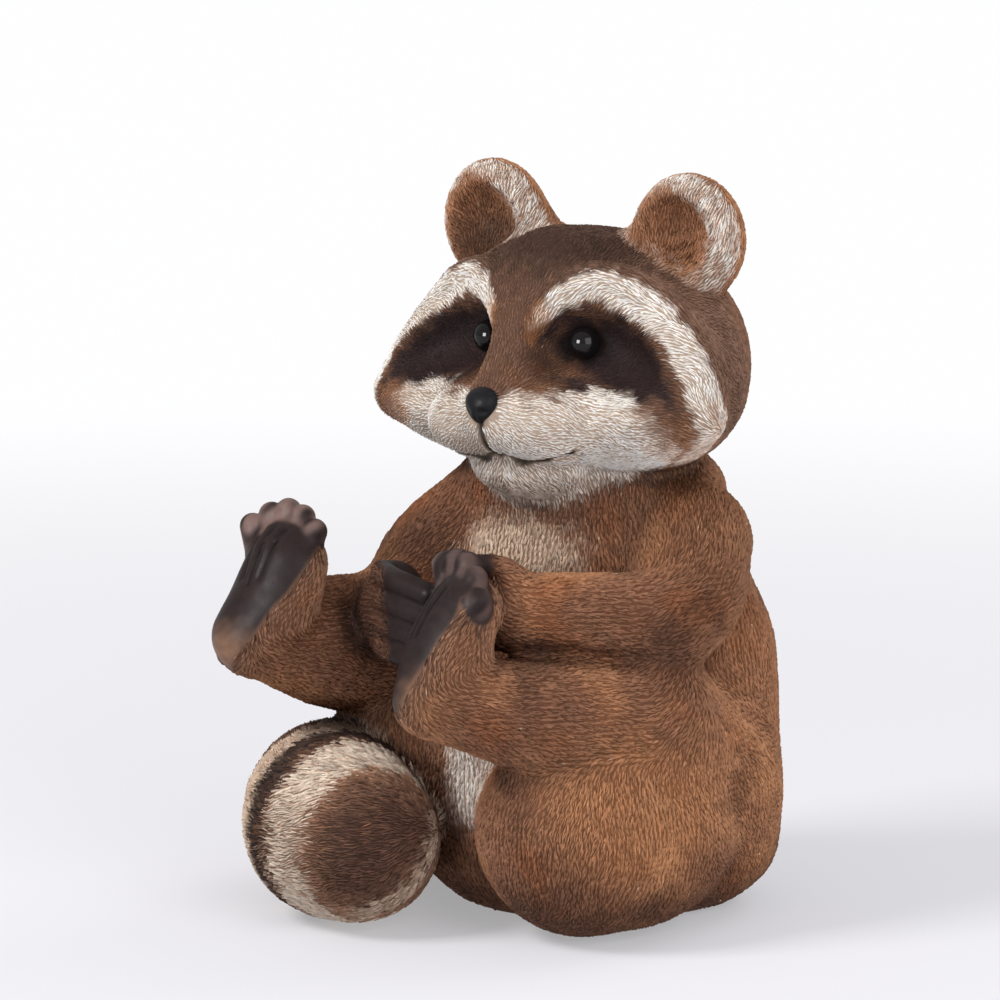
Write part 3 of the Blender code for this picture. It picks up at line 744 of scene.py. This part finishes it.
def paintOf(p, n):
    colour = np.tile(colours["body"], (len(p), 1))

    def lay(name, share):
        nonlocal colour
        colour = mixed(colour, colours[name], share)

    lay("tan", 0.6 * ease(waves(p, 42.0, 31), 0.0, 1.6))
    lay("orange", 0.6 * ease(waves(p, 26.0, 32), 0.2, 1.6))
    lay("deep", 0.45 * ease(waves(p, 32.0, 33), 0.5, 1.8))
    lay("tan", 0.75 * patch(p, haunchPatches, 0.0, 30.0, 4.0, 20.0))
    lay("tan", 0.3 * patch(p, shoulderAndFlank, 0.0, 20.0, 3.0))
    # painted shade: darker towards the floor, low on the body
    lay("deep", 0.62 * (1.0 - ease(p[:, 2] + 3.0 * waves(p, 24.0, 35), 2.0, 34.0)))
    lay("deep", 0.25 * patch(p, sleevePatch, 3.0, 14.0, 3.0, 20.0))
    # painted shade along each crease, in the deep brown
    for creaseShade in creaseShades:
        lay("deep", 0.6 * patch(p, [creaseShade], 0.0, 12.0, 2.0, 14.0))
    lay("warmCream", 0.9 * patch(p, chestPatch, 0.0, 14.0, 2.5))
    lay("cream", 0.75 * patch(p, bellyPatch, 2.0, 10.0, 2.0))
    # the head
    onHead = 1.0 - ease(headField(p), 2.0, 6.0)
    lay("forehead", onHead)
    for i, (name, forms, spread, soft, ragged, share) in enumerate(headPaints):
        lay(name, onHead * share * patch(p, forms, spread, soft, ragged, seed=50 + i))
    onEar = (1.0 - ease(meltAll(ears, p, 4.0), 0.5, 5.0)) * ease(p[:, 2], 232.0, 240.0)
    front = ease(-n[:, 1] + 0.08 * waves(p, 5.0, 42), 0.06, 0.46)
    lay("body", onEar)
    lay("tan", 0.5 * onEar)
    lay("cream", onEar * front * (0.62 + 0.3 * waves(p, 4.0, 41)))
    lay("earCup", onEar * front * patch(p, earCupPaint, 0.0, 7.0, 1.5))
    for spot, share in earRoots:
        lay("crown", share * onEar * patch(p, [spot], 0.0, 16.0, 1.5))
    # the tail
    onTail = 1.0 - ease(meltAll(tail, p, 4.0), 1.0, 3.5)
    along = ringTone(p) + 1.8 * waves(p, 12.0, 61) + 1.4 * waves(p, 4.0, 64)
    ringed = np.tile(colours[tailRings[0][1]], (len(p), 1))
    for (start, _), (_, name) in zip(tailRings[:-1], tailRings[1:]):
        soft = firstEdge if start == tailRings[0][0] else ringEdge
        ringed = mixed(ringed, colours[name], ease(along, start - soft, start + soft * 0.5))
    tanned = 0.5 * ease(waves(p, 3.0, 62), 0.0, 1.4) * ease(ringed.max(axis=1), 0.2, 0.5)
    ringed = mixed(ringed, colours["earCup"], tanned)
    ringed = mixed(ringed, colours["warmCream"], 0.6 * patch(p, tailRim, -1.0, 8.0, 1.5))
    colour = mixed(colour, ringed, onTail)
    # painted shade in the hollows and creases: the colour is darkened by how deep each point sits
    settled = ease(hollowShade(p, n) + 0.04 * waves(p, 6.0, 63), 0.2, 0.9)[:, None]
    colour = colour * (1.0 - settled * (1.0 - hollowShadeSettings["keptInShade"]))
    # bare paws
    bare = bareness(p, n)
    feet = np.minimum(meltAll(footLeft + toesLeft, p, 3.0), meltAll(footRight + toesRight, p, 3.0))
    hands = np.minimum(meltAll(bareFingers, p, 3.0), meltAll(handRight, p, 3.0))
    lay("deep", 0.7 * (1.0 - ease(hands, 2.0, 10.0)))
    lay("soleEdge", 0.4 * (1.0 - ease(feet, 1.0, 5.0)))
    for seam in (seamLeft, seamRight):
        beside = np.exp(-(((p - seam[0]) @ seam[1] - 2.5) / 3.0) ** 2)
        lay("soleEdge", 0.8 * beside * (1.0 - ease(feet, 2.0, 5.0)))
    lay("charcoal", bare)
    for pads, share in ((toesLeft, 0.4), (toesRight, 0.9)):
        onPads = 1.0 - ease(meltAll(pads, p, 2.0), 0.2, 1.5)
        lay("padBrown", share * bare * onPads * ease(waves(p, 7.0, 71), -0.8, 1.0))
    lay("soleEdge", 0.7 * bare * patch(p, heelPatches, 0.0, 18.0, 1.0))
    return colour


# The unwrap: each part is rolled out round its own middle line into its own cell of the map.

mainCharts = [  # forms, middle line, and the cell as left, bottom, width and height
    (headForms, rope((0, 12, 160, 1), (0, 12, 256, 1)), (0.00, 0.60, 0.50, 0.40)),
    (ears[:1], rope((44, 20, 232, 1), (46, 20, 280, 1)), (0.50, 0.85, 0.25, 0.15)),
    (ears[1:2], rope((-44, 20, 232, 1), (-46, 20, 281, 1)), (0.75, 0.85, 0.25, 0.15)),
    (trunk + neck, rope((0, 14, 0, 1), (0, 14, 160, 1)), (0.00, 0.25, 0.50, 0.35)),
    (tail, {"stations": tailPath}, (0.00, 0.00, 0.50, 0.25)),
]
limbCharts = [  # bottom and height of the cell, then forms and middle line of the left and the right limb
    (0.60, 0.25, (haunchLeft, rope((48, 20, 46, 1), (46, -70, 44, 1))),
     (haunchRight, rope((-48, 20, 46, 1), (-46, -50, 44, 1)))),
    (0.40, 0.20, (shinLeft, shinLeft[0]), (shinRight, shinRight[0])),
    (0.25, 0.15, (footLeft + toesLeft, footLeft[0]), (footRight + toesRight, footRight[0])),
    (0.10, 0.15, (armLeft + forearmLeft, rope((50, 12, 150, 1), (60, -18, 115, 1), (28, -58, 120, 1))),
     (armRight + forearmRight, rope((-48, 12, 150, 1), (-60, -18, 115, 1), (-38, -56, 116, 1)))),
    (0.00, 0.10, (handLeft, rope((26, -60, 125, 1), (4, -76, 125, 1))),
     (handRight, rope((-38, -62, 118, 1), (-4, -78, 118, 1)))),
]
charts = mainCharts + [(forms, path, (left, bottom, 0.25, height)) for bottom, height, *sides in limbCharts
                       for left, (forms, path) in zip((0.50, 0.75), sides)]


def chartOf(p):
    nearest = np.stack([meltAll(forms, p, 2.0) for forms, _, _ in charts])
    return nearest.argmin(axis=0)


def rolledOut(p, chart):
    # turn round the middle line and place along it, both 0 to 1
    turn, along = np.zeros(len(p)), np.zeros(len(p))
    for i, (_, path, _) in enumerate(charts):
        mine = chart == i
        stations = path["stations"]
        place, way, offset = pathPlace(stations, p[mine])
        length = np.linalg.norm(np.diff(stations[:, :3], axis=0), axis=1).sum()
        level = abs(stations[-1, 2] - stations[0, 2]) < 0.7 * length
        side = unit(np.cross(way, np.array((0.13, 0.07, 0.99) if level else (0.0, -1.0, 0.1))))
        up = np.cross(way, side)
        turn[mine] = np.arctan2((offset * side).sum(axis=1), (offset * up).sum(axis=1)) / (2 * math.pi) + 0.5
        along[mine] = np.clip((place + 30.0) / (length + 60.0), 0.0, 1.0)
    return turn, along


cellMargin = 0.008


def toCell(turn, along, chart):
    cells = np.array([cell for _, _, cell in charts])[chart]
    u = cells[:, 0] + cellMargin + (cells[:, 2] - 2 * cellMargin) * np.clip(turn, -0.02, 1.02)
    v = cells[:, 1] + cellMargin + (cells[:, 3] - 2 * cellMargin) * along
    return np.stack([u, v], axis=1)


def mapSkin(mesh):
    # every face stays whole in one cell, so one across the join runs on past the edge
    corner = pull(mesh.loops, "vertex_index", 1, np.int32)
    totals = pull(mesh.polygons, "loop_total", 1, np.int32)
    face = np.repeat(np.arange(len(totals)), totals)
    middle = (pull(mesh.polygons, "center", 3) - home) / mm
    chart = chartOf(middle)
    turnMid, _ = rolledOut(middle, chart)
    turn, along = rolledOut(pointsOf(mesh)[corner], chart[face])
    turn -= np.round(turn - turnMid[face])
    unwrap(mesh, toCell(turn, along, chart[face]))


# The skin.

skinSettings = {"grain": 2.2, "firstPasses": 3, "passes": 4, "finePasses": 3, "fineRelax": 0.25}
washes = {"plain": np.array((0.46, 0.38, 0.33)), "dark": np.array((0.6, 0.58, 0.58)),
          "light": np.array((0.37, 0.30, 0.25))}  # what is left of the colour in a groove


def washOf(colour):
    # what the thin dark wash in the grooves leaves of a colour
    tone = colour.max(axis=1, keepdims=True)
    dark, light = 1.0 - ease(tone, 0.04, 0.22), ease(tone, 0.35, 0.8)
    return washes["plain"] * (1.0 - dark - light) + washes["dark"] * dark + washes["light"] * light


def fineZone(p):
    # the face and the paws, which need a finer mesh
    face = (p[:, 1] < 6.0) & (p[:, 2] > 160.0) & (p[:, 2] < 246.0)
    return face | (pawGap(p) < 4.0)


def makeSkin():
    skin = lumpOf("carvedSkin", allForms, skinSettings["grain"])
    stage(f"skin blocked in, {len(skin.data.vertices)} points")
    settle(skin, statueField, skinSettings["firstPasses"])
    remesh(skin, skinSettings["grain"])
    settle(skin, skinField, skinSettings["passes"])
    refine(skin, fineZone)
    settle(skin, skinField, skinSettings["finePasses"], skinSettings["fineRelax"])
    skin.data.shade_smooth()
    stage(f"skin settled, {len(skin.data.vertices)} points")
    return skin


def dressSkin(skin):
    mesh = skin.data
    p, n = pointsOf(mesh), normalsOf(mesh)
    bare = bareness(p, n)
    furred = 1.0 - ease(bare, 0.25, 0.6)
    furred *= ease(p[:, 2], floorLevel + 1.0, floorLevel + 2.5)
    eyes = np.minimum(*[np.linalg.norm(p - np.array(eyeCentre) * side, axis=1) for side in (1, flip)])
    furred *= ease(eyes, 7.2, 8.4)
    furred *= ease(np.linalg.norm(p - noseTip, axis=1), 7.4, 8.4)
    furred *= ease(meltAll(lipCuts, p, 0.5), 0.8, 1.6)
    onHead = (headField(p) < 1.6).astype(float)
    onTail = (meltAll(tail, p, 4.0) < 1.6) * (1.0 - onHead)
    store(mesh, "faceCoat", "FLOAT", furred * onHead)
    store(mesh, "tailCoat", "FLOAT", furred * onTail)
    store(mesh, "bodyCoat", "FLOAT", furred * (1.0 - onHead) * (1.0 - onTail))
    store(mesh, "lie", "FLOAT_VECTOR", lieOf(p, n))
    fine = 1.0 - 0.25 * patch(p, muzzle + sockets + bridge, 2.0, 6.0)
    store(mesh, "strokeSize", "FLOAT", fine * (1.0 + 0.12 * waves(p, 20.0, 81)))
    colour = paintOf(p, n)
    bared = ease(bare, 0.3, 0.7)[:, None]
    groove = washOf(colour) * (1.0 - bared) + bared
    lines = ease(np.minimum(meltAll(lipCuts, p, 0.5), meltAll(soleCuts, p, 0.5) + 0.3), 0.2, 1.3)
    storePaint(mesh, colour * groove * (0.1 + 0.9 * lines)[:, None])
    store(mesh, "bare", "FLOAT", bare)
    mapSkin(mesh)
    stage("skin painted")


# Carved strokes, scattered by Geometry Nodes and then made plain meshes.

strokePoints = [(-0.5, 0, -0.35), (-0.08, 0.5, -0.35), (-0.08, -0.5, -0.35), (-0.2, 0, 1.0), (0.2, 0, 0.75),
                (0.5, 0, -0.1)]
strokeSides = [(0, 2, 3), (0, 3, 1), (2, 5, 4), (2, 4, 3), (1, 3, 4), (1, 4, 5), (0, 1, 2), (1, 5, 2)]
strokeCrest = [0.25, 0.0, 0.0, 1.0, 1.0, 0.7]  # how far each point stands clear of the dark wash
strokeTop = 3  # the point that a rare pale tip shows on


def strokeMesh():
    # one stroke a unit long: a ridge with its foot sunk in the skin
    mesh = bpy.data.meshes.new("stroke")
    mesh.from_pydata(strokePoints, [], strokeSides)
    mesh.shade_smooth()
    store(mesh, "crest", "FLOAT", strokeCrest)
    store(mesh, "spot", "FLOAT_VECTOR", [(x, y, 0.0) for x, y, _ in strokePoints])
    return makeObject("stroke", mesh)


def plug(tree, node, inputs):
    # links a socket to each input named, or sets the input to a plain value
    for name, value in inputs.items():
        if isinstance(value, bpy.types.NodeSocket):
            tree.links.new(value, node.inputs[name])
        else:
            node.inputs[name].default_value = value


def addNode(tree, kind, inputs, out=0, **settings):
    # a new node, given as the output that the next one takes
    node = tree.nodes.new(kind)
    for name, value in settings.items():
        setattr(node, name, value)
    plug(tree, node, inputs)
    return node.outputs[out]


strokeInputs = {"Stroke": "Object", "Zone": "String", "Spacing": "Float", "Length": "Float", "Width": "Float",
                "Height": "Float", "Stray": "Float", "Seed": "Int"}
mostStrokes = 1.6e6  # to a square metre, before they are thinned to their spacing


def strokeTree(material):
    tree = bpy.data.node_groups.new("carvedStrokes", "GeometryNodeTree")
    for way in ("INPUT", "OUTPUT"):
        tree.interface.new_socket(name="Geometry", in_out=way, socket_type="NodeSocketGeometry")
    sockets = {}
    for name, kind in strokeInputs.items():
        made = tree.interface.new_socket(name=name, in_out="INPUT", socket_type="NodeSocket" + kind)
        sockets[name] = made.identifier
    entry = tree.nodes.new("NodeGroupInput").outputs

    def add(kind, inputs, out=0, **settings):
        return addNode(tree, kind, inputs, out, **settings)

    def maths(operation, a, b):
        return add("ShaderNodeMath", {0: a, 1: b}, operation=operation)

    def attribute(name, kind="FLOAT_VECTOR"):
        return add("GeometryNodeInputNamedAttribute", {"Name": name}, "Attribute", data_type=kind)

    def keep(points, name, value, kind="FLOAT_VECTOR"):
        return add("GeometryNodeStoreNamedAttribute", {"Geometry": points, "Name": name, "Value": value},
                   "Geometry", data_type=kind, domain="POINT")

    def dice(kind, low, high, offset):
        made = tree.nodes.new("FunctionNodeRandomValue")
        made.data_type = kind
        ends = [s for s in made.inputs if s.enabled and s.name in ("Min", "Max")]
        ends[0].default_value, ends[1].default_value = low, high
        plug(tree, made, {"Seed": maths("ADD", entry["Seed"], offset)})
        return next(s for s in made.outputs if s.enabled)

    points = add("GeometryNodeDistributePointsOnFaces", {
        "Mesh": entry["Geometry"], "Distance Min": entry["Spacing"], "Density Max": mostStrokes,
        "Density Factor": attribute(entry["Zone"], "FLOAT"), "Seed": entry["Seed"]},
        "Points", distribute_method="POISSON")
    normal = points.node.outputs["Normal"]
    points = keep(points, "root", add("GeometryNodeInputPosition", {}, "Position"))
    points = keep(points, "tone", dice("FLOAT", 0.0, 1.0, 1), "FLOAT")
    points = keep(points, "up", normal)

    # each stroke stands on the skin and points along the lie, give or take a little
    stray = add("ShaderNodeVectorMath", {0: dice("FLOAT_VECTOR", (-1, -1, -1), (1, 1, 1), 2),
                                         "Scale": entry["Stray"]}, operation="SCALE")
    lie = add("ShaderNodeVectorMath", {0: attribute("lie"), 1: stray}, operation="ADD")
    stand = add("FunctionNodeAlignRotationToVector", {"Vector": attribute("up")}, "Rotation", axis="Z",
                pivot_axis="AUTO")
    turn = add("FunctionNodeAlignRotationToVector", {"Rotation": stand, "Vector": lie}, "Rotation", axis="X",
               pivot_axis="Z")

    size = attribute("strokeSize", "FLOAT")
    ranges = {"X": ("Length", 0.7, 1.35, 3), "Y": ("Width", 0.75, 1.25, 4), "Z": ("Height", 0.35, 1.5, 5)}
    scale = add("ShaderNodeCombineXYZ", {
        axis: maths("MULTIPLY", maths("MULTIPLY", entry[name], size), dice("FLOAT", low, high, offset))
        for axis, (name, low, high, offset) in ranges.items()})

    shape = add("GeometryNodeObjectInfo", {"Object": entry["Stroke"]}, "Geometry")
    strokes = add("GeometryNodeInstanceOnPoints", {"Points": points, "Instance": shape, "Rotation": turn,
                                                   "Scale": scale}, "Instances")
    solid = add("GeometryNodeRealizeInstances", {"Geometry": strokes}, "Geometry")
    finished = add("GeometryNodeSetMaterial", {"Geometry": solid, "Material": material}, "Geometry")
    plug(tree, tree.nodes.new("NodeGroupOutput"), {"Geometry": finished})
    return tree, sockets


# Lengths in mm. Strokes turn from the lie by stray, and take their colour from up to about stagger away.
coats = {
    "faceCoat": {"pieces": 2, "spacing": 0.76, "length": 3.8, "width": 0.72, "height": 0.46, "stray": 0.12,
                 "stagger": 1.0, "seed": 5, "slot": "face_fur_paint"},
    "bodyCoat": {"pieces": 5, "spacing": 0.84, "length": 4.5, "width": 0.83, "height": 0.64, "stray": 0.24,
                 "stagger": 2.4, "seed": 9, "slot": "body_fur_paint"},
    "tailCoat": {"pieces": 1, "spacing": 0.84, "length": 6.0, "width": 0.88, "height": 0.90, "stray": 0.22,
                 "stagger": 2.6, "seed": 13, "slot": "tail_fur_paint"},
}


def makeCoat(skin, name, zone, part, tree, sockets, stroke):
    # one piece of a coat: the more pieces the coat has, the wider each one spaces its strokes
    coat = coats[zone]
    carrier = makeObject(name, skin.data.copy())
    scatter = carrier.modifiers.new("strokes", "NODES")
    scatter.node_group = tree
    values = {"Stroke": stroke, "Zone": zone, "Stray": coat["stray"], "Seed": coat["seed"] + 100 * part,
              "Spacing": coat["spacing"] * math.sqrt(coat["pieces"]) * mm}
    for key in ("Length", "Width", "Height"):
        values[key] = coat[key.lower()] * mm
    for key, value in values.items():
        scatter[sockets[key]] = value
    bake(carrier)
    return carrier


coatTones = {"low": 0.80, "high": 1.24, "darkSpread": 1.2, "clumps": 0.10, "clumpSize": 5.0, "paleTips": 0.9992,
             "paleTipColour": dye(226, 208, 186), "brightest": 0.9}
strokeOnMap = 0.003  # a stroke's size on the map


def paintCoat(carrier, spread):
    # each stroke takes the marking near its root: a stroke astray blurs the edges as a brush does
    mesh = carrier.data
    corners = len(strokePoints)
    p = (read(mesh, "root", 3)[::corners] - home) / mm
    ups = read(mesh, "up", 3)[::corners].astype(float)
    tone, crest = read(mesh, "tone", 1), read(mesh, "crest", 1)
    stagger = np.random.default_rng(3).normal(size=p.shape) * spread * 0.5
    colour = np.repeat(paintOf(p + stagger, ups), corners, axis=0)
    spots = pointsOf(mesh)
    spots[:, 2] = np.maximum(spots[:, 2], floorLevel)
    setPoints(mesh, spots)
    ridge = coatTones["low"] + (coatTones["high"] - coatTones["low"]) * tone
    dark = 1.0 - ease(colour.max(axis=1), 0.05, 0.2)
    ridge = 1.0 + (ridge - 1.0) * (1.0 + coatTones["darkSpread"] * dark)
    ridge *= 1.0 + coatTones["clumps"] * np.repeat(waves(p, coatTones["clumpSize"], 91), corners)
    foot = washOf(colour)
    shade = foot + (ridge[:, None] - foot) * crest[:, None]
    colour = np.clip(colour * shade, 0.0, coatTones["brightest"])
    # a few strokes chosen at random get a near-white tip
    paleTips = (tone > coatTones["paleTips"]) & (np.arange(len(tone)) % corners == strokeTop)
    colour[paleTips] = coatTones["paleTipColour"]
    storePaint(mesh, colour)
    chart = chartOf(p)
    centre = np.repeat(toCell(*rolledOut(p, chart), chart), corners, axis=0)
    places = centre + strokeOnMap * read(mesh, "spot", 3)[:, :2]
    unwrap(mesh, places[pull(mesh.loops, "vertex_index", 1, np.int32)])
    dropMaps(mesh, "root", "up", "spot", "crest", "tone")


# Materials.

def makeMaterial(name):
    material = bpy.data.materials.new(name)
    material.use_nodes = True
    tree = material.node_tree
    return material, tree, tree.nodes["Principled BSDF"]


# A noise's middle part, noiseSpan, is spread over a finish's own range, and the paws shine by bareShine more.
noiseSpan = (0.3, 0.7)
bareShine = -0.20


def spreadOver(tree, value, low, high, span=noiseSpan, **settings):
    ends = {"From Min": span[0], "From Max": span[1], "To Min": low, "To Max": high}
    return addNode(tree, "ShaderNodeMapRange", {"Value": value, **ends}, "Result", **settings)


def noise(tree, size, detail):
    place = addNode(tree, "ShaderNodeTexCoord", {}, "Object")
    return addNode(tree, "ShaderNodeTexNoise", {"Scale": size, "Detail": detail, "Vector": place}, "Fac")


def tooth(tree, finish):
    height = noise(tree, finish["tooth"], 3.0)
    return addNode(tree, "ShaderNodeBump", {"Strength": finish["bump"], "Distance": finish["deep"],
                                            "Height": height}, "Normal")


def paintMaterial(name):
    # brushed paint over resin: the painted colour, uneven in tone, with a fine tooth
    finish = finishes[name]
    material, tree, shader = makeMaterial(name)
    paint = addNode(tree, "ShaderNodeAttribute", {}, "Color", attribute_name="paint")
    bare = addNode(tree, "ShaderNodeAttribute", {}, "Fac", attribute_name="bare")
    mottle = spreadOver(tree, noise(tree, finish["mottle"], 4.0), *finish["tones"])
    rough = spreadOver(tree, noise(tree, finish["mottle"] * 0.6, 2.0), *finish["rough"])
    plug(tree, shader, {
        "Base Color": addNode(tree, "ShaderNodeVectorMath", {0: paint, "Scale": mottle}, operation="SCALE"),
        "Roughness": addNode(tree, "ShaderNodeMath", {0: bare, 1: bareShine, 2: rough},
                             operation="MULTIPLY_ADD"),
        "Normal": tooth(tree, finish), "Specular IOR Level": finish["specular"]})
    return material


finishes = {
    "carvedCoatPaint": {"mottle": 260.0, "tones": (0.86, 1.14), "rough": (0.55, 0.75), "specular": 0.09,
                        "tooth": 2600.0, "bump": 0.25, "deep": 0.0004},
    "carvedSkinPaint": {"mottle": 240.0, "tones": (0.84, 1.16), "rough": (0.58, 0.74), "specular": 0.10,
                        "tooth": 1500.0, "bump": 0.18, "deep": 0.0004},
}
enamels = {  # black glass-smooth enamel with a faint brown depth, and satin charcoal, greyer where brushed
    "eyeEnamel": {"dark": (0.004, 0.004, 0.005, 1.0), "light": (0.008, 0.006, 0.006, 1.0),
                  "mottle": (180.0, 2.0), "wear": (320.0, 3.0), "rough": (0.01, 0.04), "specular": 0.24},
    "noseCharcoal": {"dark": (0.006, 0.006, 0.007, 1.0), "light": (0.015, 0.015, 0.017, 1.0),
                     "mottle": (220.0, 4.0), "wear": (400.0, 3.0), "rough": (0.36, 0.48), "specular": 0.1,
                     "tooth": 1400.0, "bump": 0.12, "deep": 0.0003},
}


def enamelMaterial(name):
    finish = enamels[name]
    material, tree, shader = makeMaterial(name)
    colour = addNode(tree, "ShaderNodeValToRGB", {"Fac": noise(tree, *finish["mottle"])}, "Color")
    for stop, tint in zip(colour.node.color_ramp.elements, ("dark", "light")):
        stop.color = finish[tint]
    plug(tree, shader, {"Base Color": colour, "Specular IOR Level": finish["specular"],
                        "Roughness": spreadOver(tree, noise(tree, *finish["wear"]), *finish["rough"])})
    if "tooth" in finish:
        plug(tree, shader, {"Normal": tooth(tree, finish)})
    return material


# Eyes and nose.

eyeSettings = {"radius": 6.4, "segments": 64, "rings": 48}
noseSettings = {"centre": (0.0, -49.0, 194.5), "radii": (7.0, 6.8, 7.0), "taper": 0.22,
                "segments": 96, "rings": 72, "nostril": (3.4, -5.6, -1.8), "nostrilSize": (1.7, 2.6, 1.2),
                "nostrilDepth": 1.1, "dipWidth": 0.8, "dipDepth": 0.5}


def ballMesh(name, centre, radii, settings):
    bm = bmesh.new()
    bmesh.ops.create_uvsphere(bm, u_segments=settings["segments"], v_segments=settings["rings"], radius=1.0)
    for vertex in bm.verts:
        x, y, z = vertex.co
        spot = np.array(centre) + np.array(radii) * np.array((x * (1 + settings.get("taper", 0.0) * z), y, z))
        vertex.co = spot * mm + home
    mesh = meshFrom(bm, name)
    mesh.shade_smooth()
    return makeObject(name, mesh)


def makeNose():
    # a ball narrowed downwards, with two soft nostril dents and a dip between them
    pad = ballMesh("nosePad", noseSettings["centre"], noseSettings["radii"], noseSettings)
    p = pointsOf(pad.data)
    centre = np.array(noseSettings["centre"])
    for side in (flip, 1.0):
        dent = centre + np.array(noseSettings["nostril"]) * side
        away = (((p - dent) / np.array(noseSettings["nostrilSize"])) ** 2).sum(axis=1)
        p[:, 1] += noseSettings["nostrilDepth"] * np.exp(-away)
    dip = np.exp(-((p[:, 0] - centre[0]) / noseSettings["dipWidth"]) ** 2) * (p[:, 1] < centre[1])
    p[:, 1] += noseSettings["dipDepth"] * dip * ease(centre[2] - p[:, 2], -1.0, 3.0)
    setPoints(pad.data, p)
    return pad


# Stage, camera and light, in metres. The view is span wide at the statue, and across and rise place its middle.

view = {"azimuth": 37.0, "elevation": 8.0, "distance": 1.6, "span": 0.387, "sensor": 36.0,
        "across": 0.023607, "rise": 0.153639}
# the floor's painted light: its glow near the statue and far off, and its pale colour
floorPaintAndGlow = {"near": 0.2, "far": 1.7, "glowNear": 0.35, "glowFar": 1.01, "pale": (0.435, 0.431, 0.462),
              "radius": 40.0, "drop": 0.0003}


def makeStage():
    # a pale sweep that glows though it is no lamp: near the statue it takes the light and glows a little, which
    # lightens the shadows and the statue's underside, and further off it only glows, evenly
    bm = bmesh.new()
    bmesh.ops.create_circle(bm, cap_ends=True, segments=96, radius=floorPaintAndGlow["radius"])
    floor = makeObject("paleFloor", meshFrom(bm, "paleFloor"))
    floor.location.z = -floorPaintAndGlow["drop"]
    material, tree, shader = makeMaterial("paleGlowingFloor")
    place = addNode(tree, "ShaderNodeTexCoord", {}, "Object")
    away = addNode(tree, "ShaderNodeVectorMath", {0: place}, "Value", operation="LENGTH")

    def fade(low, high):
        span = floorPaintAndGlow["near"], floorPaintAndGlow["far"]
        return spreadOver(tree, away, low, high, span, interpolation_type="SMOOTHSTEP")

    pale = addNode(tree, "ShaderNodeVectorMath", {0: floorPaintAndGlow["pale"], "Scale": fade(1.0, 0.0)},
                   operation="SCALE")
    plug(tree, shader, {"Base Color": pale, "Emission Color": room["colour"], "Roughness": 1.0,
                        "Emission Strength": fade(floorPaintAndGlow["glowNear"], floorPaintAndGlow["glowFar"]),
                        "Specular IOR Level": 0.0})
    floor.data.materials.append(material)


def aimed(obj, spot, target):
    obj.location = spot
    obj.rotation_euler = (Vector(target) - Vector(spot)).to_track_quat("-Z", "Y").to_euler()
    bpy.context.scene.collection.objects.link(obj)


def makeCamera():
    a, e = math.radians(view["azimuth"]), math.radians(view["elevation"])
    back = Vector((math.sin(a) * math.cos(e), -math.cos(a) * math.cos(e), math.sin(e)))
    right = Vector((math.cos(a), math.sin(a), 0.0))
    up = back.cross(right)
    base = Vector(home) + Vector((0.0, 0.0, floorLevel * mm))
    target = base - right * view["across"] + up * view["rise"]
    data = bpy.data.cameras.new("statueCamera")
    data.sensor_width = view["sensor"]
    data.lens = view["sensor"] * view["distance"] / view["span"]
    camera = bpy.data.objects.new("statueCamera", data)
    aimed(camera, target + back * view["distance"], target)
    bpy.context.scene.camera = camera


lamps = {
    "key": {"spot": (-0.75, -1.25, 1.45), "size": 0.7, "power": 27.0, "colour": (1.0, 0.985, 0.96)},
    "fill": {"spot": (1.5, -0.6, 0.7), "size": 1.2, "power": 15.0, "colour": (0.98, 0.985, 1.0)},
    "rim": {"spot": (0.5, 1.4, 1.4), "size": 1.0, "power": 8.0, "colour": (1.0, 1.0, 1.0)},
    "catch": {"spot": (-0.05, -1.5, 0.55), "size": 0.55, "power": 30.0, "colour": (1.0, 1.0, 1.0)},
}
lampTarget = (0.0, 0.0, 0.12)
room = {"light": 0.58, "backdrop": 0.93, "colour": (0.985, 0.985, 1.0, 1.0)}


def makeLight():
    for name, lamp in lamps.items():
        data = bpy.data.lights.new(name, "AREA")
        data.size = lamp["size"]
        data.energy = lamp["power"]
        data.color = lamp["colour"]
        light = bpy.data.objects.new(name, data)
        light.visible_diffuse = name != "catch"  # only a glint in the eyes
        light.visible_glossy = name != "key"
        aimed(light, lamp["spot"], lampTarget)
    world = bpy.data.worlds.new("paleRoom")
    world.use_nodes = True
    tree = world.node_tree
    seen = addNode(tree, "ShaderNodeLightPath", {}, "Is Camera Ray")
    level = spreadOver(tree, seen, room["light"], room["backdrop"], (0.0, 1.0))
    plug(tree, tree.nodes["Background"], {"Color": room["colour"], "Strength": level})
    bpy.context.scene.world = world
    bpy.context.scene.view_settings.view_transform = "Standard"


def wear(obj, material):
    obj.data.materials.clear()
    obj.data.materials.append(material)
    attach(obj, "root")


makeCamera()
makeStage()
makeLight()
skinPaint, coatPaint = (paintMaterial(name) for name in ("carvedSkinPaint", "carvedCoatPaint"))

skin = makeSkin()
dressSkin(skin)
stroke = strokeMesh()
tree, treeSockets = strokeTree(coatPaint)
for zone, coat in coats.items():
    for part in range(coat["pieces"]):
        piece = makeCoat(skin, f"{zone}{part + 1}", zone, part, tree, treeSockets, stroke)
        paintCoat(piece, coat["stagger"])
        wear(piece, coatPaint)
        stage(f"{piece.name}: {len(piece.data.polygons)} faces")
bpy.data.objects.remove(stroke)

wear(skin, skinPaint)
dropMaps(skin.data, "faceCoat", "tailCoat", "bodyCoat", "lie", "strokeSize")
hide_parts(*[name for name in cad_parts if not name.startswith("eye") and name != "nose"])

eyePaint = enamelMaterial("eyeEnamel")
for side, node in ((1.0, "eye_left"), (flip, "eye_right")):
    ball = ballMesh("dome_" + node, np.array(eyeCentre) * side, (eyeSettings["radius"],) * 3, eyeSettings)
    wear(ball, eyePaint)
    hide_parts(node)
nosePad = makeNose()
wear(nosePad, enamelMaterial("noseCharcoal"))
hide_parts("nose")

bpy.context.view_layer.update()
stage("done")
